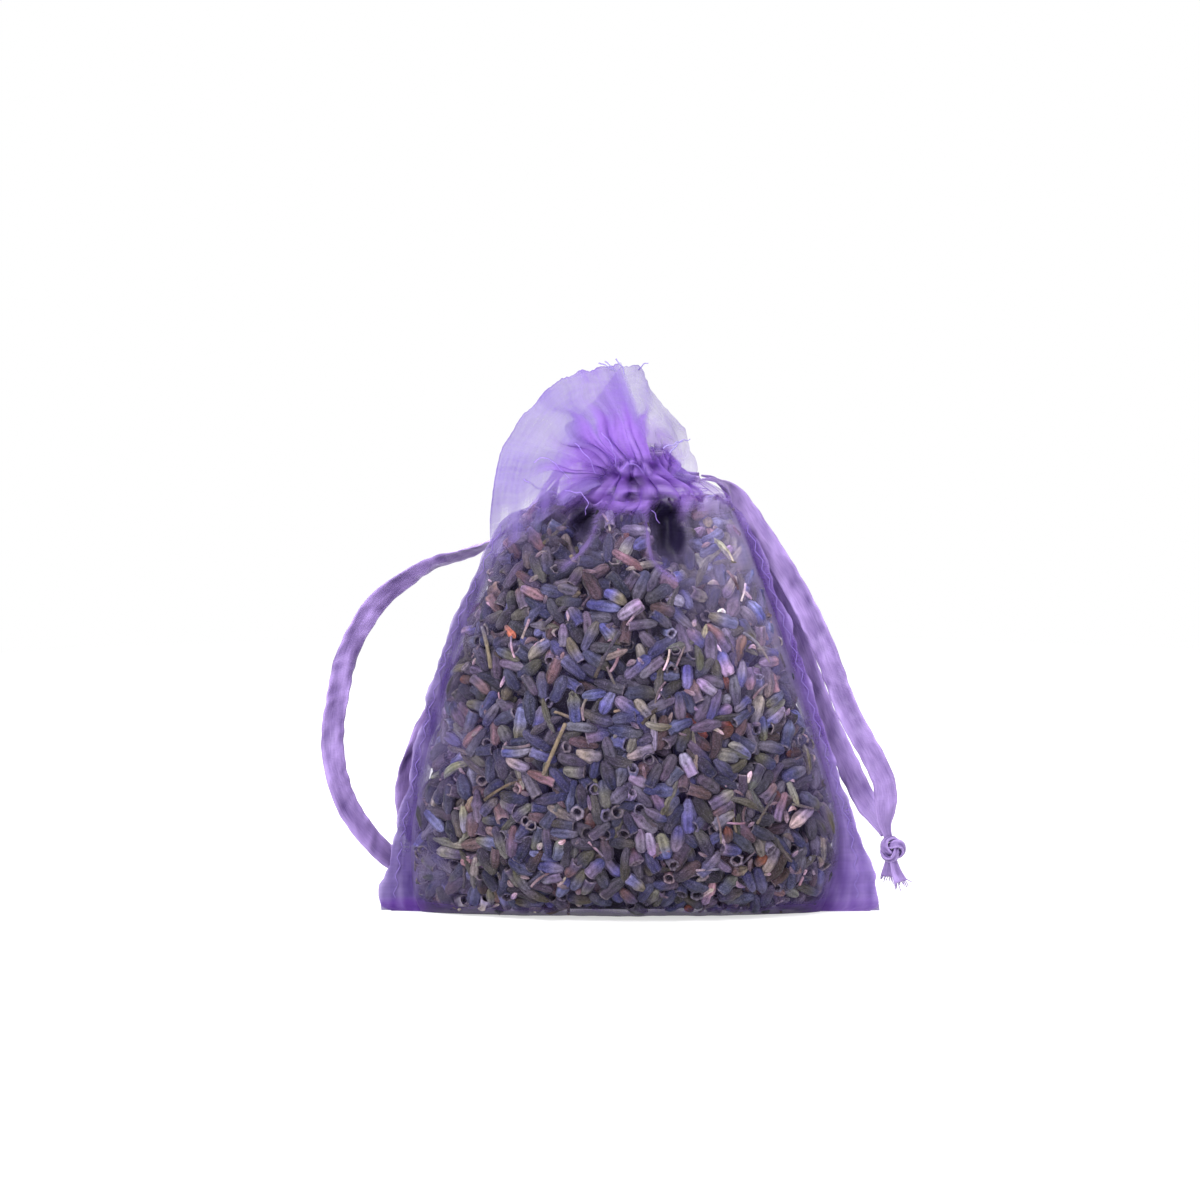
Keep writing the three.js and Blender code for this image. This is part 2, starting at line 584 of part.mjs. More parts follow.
// A place for a piece that lies on the heap under the cloth, with the directions out, across and up there
function layerPlace(heightShare, turn, side, halfThickness) {
  const seat = budLayer / 2 - budRadius;
  const inset = clothWall + budLayer - seat - halfThickness;
  const at = (share, angle) => {
    const station = bodyAt(share * bodyHeight);
    return sectionPoint(station, side, angle, inset + clearance, inset, 0);
  };
  const place = at(heightShare, turn);
  const nudge = 0.01;
  const across = at(heightShare, turn + nudge).sub(at(heightShare, turn - nudge)).normalize();
  const up = at(heightShare + nudge, turn).sub(at(heightShare - nudge, turn)).normalize();
  const out = across.clone().cross(up).normalize();
  return { place, across, up, out };
}

// Lays a piece whose length runs along its own Y in the layer, turned by an angle from level
function layInLayer(mesh, halfThickness, heightShare, turn, side, angle) {
  const { place, across, up, out } = layerPlace(heightShare, turn, side, halfThickness);
  const along = across.multiplyScalar(Math.cos(angle)).addScaledVector(up, Math.sin(angle)).normalize();
  const third = along.clone().cross(out).normalize();
  mesh.quaternion.setFromRotationMatrix(new THREE.Matrix4().makeBasis(third, along, out));
  mesh.position.copy(place);
}

function budSolid() {
  const profile = budProfileShares.map(
    ([radius, along]) => new THREE.Vector2(radius * budRadius, (along - 0.5) * budLength),
  );
  return mergedSolid(new THREE.LatheGeometry(profile, budSides));
}

function stemSolid() {
  return mergedSolid(new THREE.CylinderGeometry(stemRadius, stemRadius, stemLength, budSides));
}

function leafSolid() {
  const leaf = new THREE.SphereGeometry(1, budSides + 1, budSides);
  leaf.scale(leafHalfWidth, leafLength / 2, leafHalfWall);
  return mergedSolid(leaf);
}

// Spreads pieces evenly over the front and the back of the fill
function addLayerPieces(prefix, count, makeSolid, halfThickness, materials, phase) {
  for (let i = 0; i < count; i += 1) {
    const side = i % 2 === 0 ? -1 : 1;
    const heightShare = budLowShare + (budHighShare - budLowShare) * (i + phase) / count;
    const turn = (2 * ((i * goldenShare + phase) % 1) - 1) * budTurnShare * quarterTurn;
    const angle = 2 * Math.PI * ((i * goldenShare * goldenShare + phase) % 1);
    const mesh = addPiece(`${prefix}_${i + 1}`, makeSolid(), materials[i % materials.length]);
    layInLayer(mesh, halfThickness, heightShare, turn, side, angle);
  }
}

addPanel('front_panel', -1);
addPanel('back_panel', 1);
addBase();
addSideSeam('left_side_seam', -1);
addSideSeam('right_side_seam', 1);
addSeamThread('left_seam_thread', -1);
addSeamThread('right_seam_thread', 1);
addCasing('front_casing', -1);
addCasing('back_casing', 1);
addLining();
for (const [hand, side] of [['front', -1], ['back', 1]]) {
  addChannelThread(`${hand}_lower_thread`, side, channelBottom + stitchMargin / 2);
  addChannelThread(`${hand}_upper_thread`, side, channelTop - stitchMargin / 2);
}
addRuffle('front_ruffle', -1, frontRuffleShares);
addRuffle('back_ruffle', 1, backRuffleShares);
addRibbonTurn('left_ribbon_turn', -1, leftRibbonZ);
addRibbonTurn('right_ribbon_turn', 1, rightRibbonZ);
addRibbonLoop('left', [leftFrontRoute, leftBackRoute], [leftFrontTail, leftBackTail], leftKnotPlace);
addRibbonLoop('right', [rightFrontRoute, rightBackRoute], [rightFrontTail, rightBackTail], rightKnotPlace);
addHeap();
addLayerPieces('bud', budCount, budSolid, budRadius, budMaterials, 0.3);
addLayerPieces('stem', stemCount, stemSolid, stemRadius, [stemMaterial], 0.55);
addLayerPieces('leaf_bit', leafCount, leafSolid, leafHalfWall, [leafMaterial], 0.2);

export default sachet;
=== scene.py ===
import math

import bpy
import numpy as np
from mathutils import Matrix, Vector
from mathutils.kdtree import KDTree


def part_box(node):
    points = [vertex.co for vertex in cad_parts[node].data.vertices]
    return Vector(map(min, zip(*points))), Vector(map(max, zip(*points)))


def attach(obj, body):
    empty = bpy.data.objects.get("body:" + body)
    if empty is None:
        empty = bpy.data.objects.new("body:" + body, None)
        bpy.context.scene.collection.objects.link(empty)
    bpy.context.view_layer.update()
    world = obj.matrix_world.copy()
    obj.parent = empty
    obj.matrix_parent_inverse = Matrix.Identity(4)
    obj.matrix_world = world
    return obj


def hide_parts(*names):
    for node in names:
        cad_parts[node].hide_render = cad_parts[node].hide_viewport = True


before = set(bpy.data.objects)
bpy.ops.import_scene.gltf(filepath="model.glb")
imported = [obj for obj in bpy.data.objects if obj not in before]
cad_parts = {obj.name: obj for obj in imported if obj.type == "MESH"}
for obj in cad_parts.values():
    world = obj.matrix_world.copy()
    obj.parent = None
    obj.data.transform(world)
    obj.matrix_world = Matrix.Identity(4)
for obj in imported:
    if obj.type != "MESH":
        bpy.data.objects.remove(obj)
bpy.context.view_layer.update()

MM = 0.001
TURN = 2 * math.pi
FRONT, BACK = -1, 1
WAVE_COUNT = 7


def box_mm(node):
    """The lowest and highest corner of a node, in millimetres."""
    low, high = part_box(node)
    return np.array(low) / MM, np.array(high) / MM


# Sizes read from the frame
HALF_WIDTH = box_mm("right_side_seam")[1][0]
BODY_HEIGHT = box_mm("front_panel")[1][2]
CHANNEL_TOP = box_mm("gathered_lining")[1][2]
LINING_LOW, LINING_HIGH = box_mm("gathered_lining")
LEFT_RIBBON_Z = sum(box_mm("left_ribbon_turn"))[2] / 2
RIGHT_RIBBON_Z = sum(box_mm("right_ribbon_turn"))[2] / 2
GATHERED_RIBBON = box_mm("left_ribbon_turn")[1][2] - box_mm("left_ribbon_turn")[0][2]

# Sizes of the cloth
HALF_DEPTH = 15
SECTION_PINCH = 1.25
DEEPEST_FOLD = 0.85
FLANGE_HALF_GAP = 0.3
WEAVE_PITCH = 0.3
WEAVE_AMOUNT = 0.28
NECK_JOIN = 0.94
FULLEST_GATHER = 1.25
RIGHT_EAR_EXTRA = 2.4
RIGHT_EAR_HEIGHT = 9
CORNER_RADIUS = 1.8
CORNER_CUT = 1.6
FOOT_HEIGHT = 0.06
BODY_SPAN = 70
CHANNEL_SPAN = 30
CHANNEL_START = 62
CHANNEL_LAP = 1.8
CHANNEL_ARC = [(-1.4, 62.2), (-0.4, 63.2), (0.8, 63.5), (2, 63), (2.7, 62)]
LINING_SHARE = 0.9
LINING_WAIST = 0.36
WAIST_TOP = (64.6, 65.6)
RUFFLE_SPAN = 60
RUFFLE_RISE = 18
RUFFLE_START = 70
RUFFLE_ROWS = 96
RUFFLE_COLUMNS = 230
SHEET_COLUMNS = 190
BODY_ROWS = 150
FLANGE_COLUMNS = 14
GATHERS = 13

# Sizes of the stitches
OVERLOCK_PITCH = 2.6
OVERLOCK_SWING = 0.32
OVERLOCK_RADIUS = 0.055
STITCH_PITCH = 1.6
STITCH_FROM_RIBBON = 1.7

# Sizes of the ribbons
RIBBON_WIDTH = 3.2
RIBBON_WALL = 0.3
RIBBON_STEP = 0.33
PINCHED_WIDTH = 0.9
PINCH_LENGTH = 6
TAIL_WIDTH = 1.9
TAIL_SHARE = 0.75
FRAY_COUNT = 11
KNOT_RADIUS = 1.08
KNOT_BUNCHED = 0.85
KNOT_THIN = 0.42
KNOT_SIDES = 20
TURN_HALF_GAP = 1.7
TURN_PAST_FRAME = 0.4

# Neck: height, half length, half depth and middle
NECK_ROWS = np.array([
    (56.4, 12.9, 6.2, 1.4), (58.4, 11.9, 5.6, 1.8), (59.4, 10.4, 4.9, 1.8), (60.4, 8.6, 4.2, 1.6),
    (61.6, 6, 3.7, 1), (63, 4.9, 3.5, 0.7), (64.6, 4.6, 3.5, 0.6), (66.4, 4.5, 3.5, 0.6),
])

# Body outline: height, edge, fill, depth and lean, as shares of its height, half width and half depth
BODY_SHARES = np.array([
    (0, 1, 0.83, 0.26, 0), (0.02, 1, 0.845, 0.5, 0), (0.055, 0.99, 0.86, 0.72, 0),
    (0.11, 0.965, 0.868, 0.88, 0), (0.2, 0.92, 0.855, 0.98, -0.01), (0.3, 0.87, 0.815, 1, -0.018),
    (0.42, 0.815, 0.762, 0.99, -0.028), (0.55, 0.752, 0.7, 0.96, -0.034), (0.68, 0.68, 0.63, 0.9, -0.034),
    (0.8, 0.595, 0.55, 0.81, -0.028), (0.89, 0.53, 0.49, 0.7, -0.022), (0.95, 0.475, 0.44, 0.58, -0.015),
    (0.98, 0.41, 0.385, 0.46, 0.005), (1, 0.32, 0.3, 0.37, 0.04),
])

# Folds pressed into the body below the neck: rows of height, x, depth and half width, from low to high
BODY_FOLDS = {
    FRONT: [
        [(46, -12, 0, 1.8), (48, -11, 0.4, 1.8), (51, -8.6, 1.8, 1.6), (54, -7, 3.6, 1.5),
         (57, -6.3, 4.4, 1.4), (60, -6, 4.4, 1.3)],
        [(45, 9, 0, 2), (48, 7.2, 0.9, 1.9), (51, 5.5, 3, 1.8), (54, 4.8, 4.8, 1.8),
         (57, 4.6, 5.2, 1.7), (60, 4.4, 4.6, 1.5)],
        [(49, 17, 0, 1.4), (52, 14.6, 0.6, 1.3), (55, 11.8, 1.1, 1.1), (60, 8.2, 1.2, 0.9)],
        [(50, -15.4, 0, 1.2), (53, -12.6, 0.6, 1.1), (56, -9.4, 1, 1), (60, -5.2, 1.1, 0.8)],
    ],
    BACK: [
        [(43, -8.6, 0, 2), (48, -6, 1.3, 2), (53, -3.8, 3, 1.9), (57, -2.6, 3.6, 1.6),
         (60, -1.8, 3.4, 1.3)],
        [(45, 10.5, 0, 2), (50, 8, 1.8, 1.9), (54, 6.4, 3, 1.7), (57, 5.4, 3.2, 1.5), (60, 4.6, 3, 1.2)],
        [(48, -16, 0, 1.5), (52, -12.6, 0.8, 1.3), (56, -9, 1.3, 1.1), (60, -4.8, 1.2, 0.9)],
        [(47, 1.8, 0, 1.6), (52, 1.8, 0.8, 1.5), (56, 1.6, 1.6, 1.2), (60, 1.4, 1.4, 1)],
    ],
}

# Lines where the cloth is folded sharp, as x and z
FOLD_LIPS = {
    FRONT: [
        [(-4.3, 59.4), (-4.6, 56.1), (-5.7, 53), (-7.2, 51.2), (-9.2, 49.4)],
        [(2.3, 58), (2.4, 54.7), (3.4, 50.3), (4.8, 48.9), (6.4, 47.8)],
        [(-4.3, 59.4), (-2.9, 59.4), (-1.6, 58.2), (-0.2, 57.6), (2.3, 58)],
    ],
    BACK: [
        [(-1.2, 57.6), (-2, 54.2), (-3.8, 50), (-7, 46.4)],
        [(3.6, 57.4), (4.6, 53.6), (6.6, 49.6), (9.6, 46.6)],
    ],
}

# Hollows where the folds are deepest: middle x and z, half width, half height and how dark the painted
# shade there is
HOLLOWS = {
    FRONT: [
        (4.8, 56.2, 2.7, 3.1, 1), (5.7, 53.4, 3.2, 3.8, 1), (-6.4, 55.6, 2.6, 2.8, 0.95),
        (0.9, 60.6, 1.5, 1, 0.6), (0.2, 58.8, 1, 0.6, 0.6),
    ],
    BACK: [(-3.4, 54.4, 1.4, 3, 0.8), (6, 54.6, 1.3, 2.6, 0.8)],
}

# Ribbon routes from the neck to the knots: x, y, z, then the direction of the ribbon's width
LEFT_FRONT_ROUTE = [
    (-5.8, -2.6, 63.6, 0, 0, 1), (-7.2, -1.7, 63.4, 0, 0.2, 1), (-9.2, 0.3, 62.4, 0.1, 0.4, 0.9),
    (-11.2, 2.8, 60, 0.2, 0.7, 0.6), (-13.4, 5.8, 56.6, 0.2, 0.9, 0.3), (-17.2, 8.2, 52.6, 0.1, 1, 0),
    (-22.2, 9.6, 49.5, 0.2, 0.88, -0.45), (-28.9, 9.6, 47.1, 0.3, 0.72, -0.62),
    (-32.4, 9.4, 44.9, 0.5, 0.5, -0.7),
    (-35.6, 9, 42, 0.7, 0.35, -0.6), (-37.9, 8.6, 38.7, 0.85, 0.3, -0.4), (-39.6, 8.2, 34.6, 1, 0.3, -0.2),
    (-40.8, 7.8, 30.2, 1, 0.3, 0), (-41.5, 7.4, 25.6, 1, 0.2, 0), (-41.6, 7.2, 21.6, 1, 0.1, 0),
    (-40.9, 7.2, 17.4, 1, 0.2, 0.1), (-39.5, 7.4, 13.6, 1, 0.3, 0.3), (-37.7, 7.8, 10.6, 0.9, 0.4, 0.5),
    (-35.6, 8.4, 8, 0.7, 0.5, 0.7), (-33.2, 9.2, 5.8, 0.5, 0.5, 0.9), (-30.8, 10.6, 3.9, 0.1, 0.3, 1),
    (-28.8, 11.3, 3.4, 0, 0.3, 1),
]
LEFT_BACK_ROUTE = [
    (-5.8, 2.6, 63.6, 0, 0, 1), (-7.4, 3.6, 63.2, 0, 0.2, 1), (-9.4, 5.8, 61, 0.4, 0.3, 0.8),
    (-11.8, 8.2, 56.4, 0.7, 0.2, 0.5), (-15, 9.6, 50, 1, 0.2, 0.3), (-17.6, 9.8, 44.4, 1, 0.3, 0.3),
    (-20.6, 9.4, 38.6, 1, 0.4, 0.3), (-23.8, 8.8, 33, 1, 0.4, 0.3), (-26.8, 8.2, 27.6, 1, 0.4, 0.3),
    (-29.5, 7.8, 22.8, 1, 0.4, 0.2), (-31, 7.8, 18.6, 1, 0.4, 0.1), (-31.4, 8.2, 15, 1, 0.3, 0),
    (-30.9, 9, 11.6, 1, 0.2, -0.1), (-29.7, 10, 8.8, 1, 0.1, -0.2), (-28.3, 10.9, 6.9, 1, 0, -0.2),
    (-27.6, 11.5, 4.7, 1, 0, 0),
]
RIGHT_FRONT_ROUTE = [
    (10, -2.6, 60.9, 0, 0, 1), (11.2, -2, 60.8, 0, 0.2, 1), (12.6, 0, 60.2, 0.1, 0.8, 0.5),
    (14.2, 2.8, 58.8, 0.4, 0.7, 0.5), (15.9, 3.9, 56.2, 0.8, 0.3, 0.4), (18.1, 3, 52.9, 1, -0.1, 0.3),
    (20.5, 2.2, 49.3, 1, -0.1, 0.3),
    (23.1, 1.8, 45, 1, 0.1, 0.4), (25.3, 1.4, 40.8, 1, 0, 0.4), (27.1, 0.7, 36.8, 1, -0.1, 0.4),
    (28.8, 0, 32.2, 1, -0.2, 0.4), (30.8, -0.7, 27.4, 1, -0.1, 0.4), (32.9, -1.1, 23.6, 1, 0, 0.5),
    (34.7, -1.4, 20.2, 1, 0, 0.4), (35.6, -1.5, 17.4, 1, 0.1, 0.2), (35.6, -1.4, 14.8, 1, 0.2, 0),
    (35.6, -1.2, 12.5, 1, 0.3, 0), (36, -1, 10.6, 1, 0.3, 0),
]
RIGHT_BACK_ROUTE = [
    (10, 2.6, 60.9, 0, 0, 1), (11.4, 3.4, 60.5, 0, 0.3, 1), (13.2, 4.8, 59, 0.4, 0.4, 0.8),
    (15, 5.6, 56.2, 0.8, 0.2, 0.4), (16.9, 5.2, 52.9, 1, 0.1, 0.3), (18.7, 4.6, 49.3, 1, 0, 0.4),
    (20.5, 3.9, 45.4, 1, 0, 0.4), (22, 3.6, 41.4, 1, 0, 0.4), (23.6, 3.4, 37.2, 1, 0.1, 0.4),
    (25.2, 3.2, 32.6, 1, 0.1, 0.4), (27, 3, 27.8, 1, 0.2, 0.4), (28.9, 2.8, 23.6, 1, 0.2, 0.4),
    (30.8, 2.6, 19.6, 1, 0.2, 0.4), (32.6, 2.2, 16, 1, 0.1, 0.3), (34.6, 1.1, 12.6, 1, 0, 0.2),
    (35.6, 0.2, 10.8, 1, 0, 0.2),
]
LEFT_FRONT_TAIL = [
    (-25.9, 11.9, 3.5, 0, 1, 0.3), (-23.8, 12, 2.9, 0, 1, 0.3), (-22.2, 12.5, 1.8, 0, 1, 0.1),
    (-20, 13.4, 1, 0, 1, 0),
]
LEFT_BACK_TAIL = [
    (-26.9, 12.2, 3.5, 1, 0.2, 0), (-26.4, 13.7, 2.9, 1, 0.2, 0), (-26, 15.2, 1.9, 1, 0.2, 0),
    (-25.6, 17.2, 1, 1, 0.1, 0),
]
RIGHT_FRONT_TAIL = [
    (36.6, -1.1, 8.1, 1, 0.2, 0), (37.2, -1.6, 5.8, 1, 0.2, 0), (37.7, -2.2, 4.6, 1, 0.2, 0),
    (38.2, -2.4, 3, 1, 0.1, 0),
]
RIGHT_BACK_TAIL = [
    (36.3, -0.4, 8.1, 1, -0.2, 0), (36.2, 0.7, 5.9, 1, -0.2, 0), (36.1, 1.3, 4.8, 1, -0.2, 0),
    (36.2, 1.7, 3.4, 1, -0.1, 0),
]

# The photograph's view
IMAGE_SIDE_PX = 1200
PIXELS_PER_MM = 7.21
CAMERA_DISTANCE = 800
CAMERA_ELEVATION = math.radians(7)
AIM = Vector((-4.1, 0, 43.8))
SENSOR = 36
NEAREST_M, FARTHEST_M = 0.01, 20

# Light and floor: each lamp's name, place, size and power in watts
LAMPS = [
    ("key_light", (-420, -620, 620), 300, 12), ("fill_light", (560, -560, 260), 500, 3),
    ("top_light", (60, 40, 800), 460, 6.4), ("back_light", (-260, 620, 420), 420, 4.4),
]
LAMP_AIM = Vector((0, 0, 35))
FLOOR_SIDE_M = 6
FLOOR_GLOW = 0.62
FLOOR_FADE_M = (0.08, 0.3)
WHITE = (1, 1, 1, 1)
SURROUND_LIGHT = 0.3


def add_camera():
    """The camera in front of the sachet, a little above it."""
    camera = bpy.data.objects.new("camera", bpy.data.cameras.new("camera"))
    bpy.context.scene.collection.objects.link(camera)
    bpy.context.scene.camera = camera
    forward = Vector((0, math.cos(CAMERA_ELEVATION), -math.sin(CAMERA_ELEVATION)))
    camera.location = (AIM - forward * CAMERA_DISTANCE) * MM
    camera.rotation_euler = forward.to_track_quat("-Z", "Y").to_euler()
    camera.data.sensor_width = SENSOR
    camera.data.lens = SENSOR * CAMERA_DISTANCE / (IMAGE_SIDE_PX / PIXELS_PER_MM)
    camera.data.clip_start = NEAREST_M
    camera.data.clip_end = FARTHEST_M


# Curves and noise


def smooth_at(stations, values, at):
    """Values on a smooth curve through values at rising stations."""
    stations, values, at = (np.asarray(a, float) for a in (stations, values, at))
    slopes = np.gradient(values, stations, axis=0)
    i = np.clip(np.searchsorted(stations, at, side="right") - 1, 0, len(stations) - 2)
    gap = stations[i + 1] - stations[i]
    t = np.clip((at - stations[i]) / gap, 0, 1)
    if values.ndim > 1:
        t, gap = t[..., None], gap[..., None]
    low, high = values[i], values[i + 1]
    rise = (low * (1 + 2 * t) + slopes[i] * gap * t) * (1 - t) ** 2
    return rise + (high * (3 - 2 * t) - slopes[i + 1] * gap * (1 - t)) * t ** 2


def along_of(points):
    """How far along a line each of its points is."""
    return np.concatenate([[0], np.cumsum(np.linalg.norm(np.diff(points, axis=0), axis=1))])


def waves(seed, points, wavelength):
    """Smooth noise of about -1 to 1: crossing waves of about the same length."""
    rng = np.random.default_rng(seed)
    points = np.asarray(points, float)
    ways = rng.normal(size=(WAVE_COUNT, points.shape[-1]))
    ways /= np.linalg.norm(ways, axis=1)[:, None]
    total = 0
    for way in ways:
        length = wavelength * rng.uniform(0.7, 1.5)
        total = total + np.sin(points @ way * TURN / length + rng.uniform(0, TURN))
    return total / math.sqrt(WAVE_COUNT) / 1.2


def smooth_step(low, high, value):
    """0 up to low, 1 from high on, and a smooth rise between them."""
    t = np.clip((value - low) / (high - low), 0, 1)
    return t * t * (3 - 2 * t)


def bump(value, centre, half):
    """A smooth hill of 1 at its centre."""
    return np.exp(-(((value - centre) / half) ** 2))


def unit(ways):
    """Directions scaled to length 1."""
    return ways / np.maximum(np.linalg.norm(ways, axis=-1, keepdims=True), 1e-9)


def line_distance(x, z, line):
    """How far points are from a smoothed line, and the share of the line at the nearest place."""
    points = np.array(line, float)
    along = along_of(points)
    fine = smooth_at(along, points, np.linspace(0, along[-1], 40))
    best, share = np.full(x.shape, 1e9), np.zeros(x.shape)
    for i, (px, pz) in enumerate(fine):
        d = np.hypot(x - px, z - pz)
        share = np.where(d < best, i / (len(fine) - 1), share)
        best = np.minimum(best, d)
    return best, share


# Meshes


def grid_faces(rows, columns, wrap=False):
    """Faces of a grid of points and their corners' places on the unit square."""
    last = columns if wrap else columns - 1
    r, c = np.meshgrid(np.arange(rows - 1), np.arange(last), indexing="ij")
    corners = [(r, c), (r, c + 1), (r + 1, c + 1), (r + 1, c)]
    faces = np.stack([(a * columns + b % columns).ravel() for a, b in corners], axis=1)
    uv = np.stack([
        np.stack([(b / last).ravel(), (a / (rows - 1)).ravel()], axis=1) for a, b in corners
    ], axis=1)
    return faces, uv


def mesh_piece(name, points, faces, uv, numbers=None, colours=None):
    """A smooth mesh object from points in millimetres and arrays of faces of one size each."""
    mesh = bpy.data.meshes.new(name)
    mesh.vertices.add(len(points))
    mesh.vertices.foreach_set("co", (np.asarray(points, np.float32) * MM).ravel())
    loops = np.concatenate([f.ravel() for f in faces])
    sizes = np.concatenate([np.full(len(f), f.shape[1]) for f in faces])
    mesh.loops.add(len(loops))
    mesh.loops.foreach_set("vertex_index", loops.astype(np.int32))
    mesh.polygons.add(len(sizes))
    mesh.polygons.foreach_set("loop_start", np.concatenate([[0], np.cumsum(sizes)[:-1]]).astype(np.int32))
    mesh.polygons.foreach_set("use_smooth", np.ones(len(sizes), bool))
    mesh.update(calc_edges=True)
    layer = mesh.uv_layers.new(name="OFBake")
    layer.data.foreach_set("uv", np.concatenate([u.reshape(-1, 2) for u in uv]).astype(np.float32).ravel())
    for key, values in (numbers or {}).items():
        attribute = mesh.attributes.new(key, "FLOAT", "POINT")
        attribute.data.foreach_set("value", np.asarray(values, np.float32).ravel())
    for key, values in (colours or {}).items():
        attribute = mesh.attributes.new(key, "FLOAT_COLOR", "POINT")
        rgba = np.ones((len(points), 4), np.float32)
        rgba[:, :3] = values
        attribute.data.foreach_set("color", rgba.ravel())
    mesh.validate()
    piece = bpy.data.objects.new(name, mesh)
    bpy.context.scene.collection.objects.link(piece)
    return piece


def finish_piece(piece, material, body="root", nodes=()):
    """The piece with its material, the nodes that it stands for and the body that it rides."""
    piece.data.materials.append(material)
    if nodes:
        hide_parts(*nodes)
    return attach(piece, body)


def grid_piece(name, grid, numbers):
    """An open sheet from a grid of points."""
    faces, uv = grid_faces(*grid.shape[:2])
    return mesh_piece(name, grid.reshape(-1, 3), [faces], [uv], numbers)


def closed_tube(rings):
    """Points, faces and places of a tube of closed rings with a point at each end."""
    count, sides = rings.shape[:2]
    faces, uv = grid_faces(count, sides, True)
    points = np.concatenate([rings.reshape(-1, 3), rings[:1].mean(1), rings[-1:].mean(1)])
    i = np.arange(sides)
    j = (i + 1) % sides
    top = (count - 1) * sides
    first = np.stack([j, i, np.full(sides, count * sides)], axis=1)
    last = np.stack([i + top, j + top, np.full(sides, count * sides + 1)], axis=1)
    flat = np.stack([np.stack([(i + share) / sides, 0 * i], 1) for share in (0, 1, 0.5)], axis=1)
    return points, [faces, first, last], [uv, flat[:, [1, 0, 2]], flat + np.array([0, 1])]


def with_ends(numbers):
    """The numbers of a closed tube's rings, then those of its two end points."""
    return {key: np.concatenate([x.ravel(), [x[0].mean(), x[-1].mean()]]) for key, x in numbers.items()}


def tube_piece(name, rings, numbers=None):
    """A closed tube through rings of points."""
    return mesh_piece(name, *closed_tube(rings), with_ends(numbers or {}))


def frames_along(line, widths):
    """Unit directions along a line, across it and out of its face."""
    along = unit(np.gradient(line, axis=0))
    across = unit(widths - (widths * along).sum(1)[:, None] * along)
    return along, across, np.cross(along, across)


def round_rings(line, radius, sides=6):
    """Rings round a line, for threads."""
    square = np.where(np.abs(unit(np.gradient(line, axis=0))[:, 2:]) > 0.9, (1, 0, 0), (0, 0, 1))
    _, across, face = frames_along(line, square)
    angle = TURN * np.arange(sides) / sides
    radius = np.broadcast_to(radius, len(line))[:, None, None]
    ring = np.cos(angle)[None, :, None] * across[:, None] + np.sin(angle)[None, :, None] * face[:, None]
    return line[:, None] + radius * ring


def joined(parts):
    """The points, faces and places of several meshes as one."""
    points, faces, uv, start = [], [], [], 0
    for part_points, part_faces, part_uv in parts:
        points.append(part_points)
        faces += [x + start for x in part_faces]
        uv += part_uv
        start += len(part_points)
    return np.concatenate(points), faces, uv


def joined_tubes(name, tubes):
    """Several closed tubes as one mesh, each with its own strip of the unit square."""
    parts = []
    for k, rings in enumerate(tubes):
        points, faces, uv = closed_tube(rings)
        parts.append((points, faces, [(x + np.array([0, k])) / np.array([1, len(tubes)]) for x in uv]))
    return mesh_piece(name, *joined(parts))


# Shader nodes


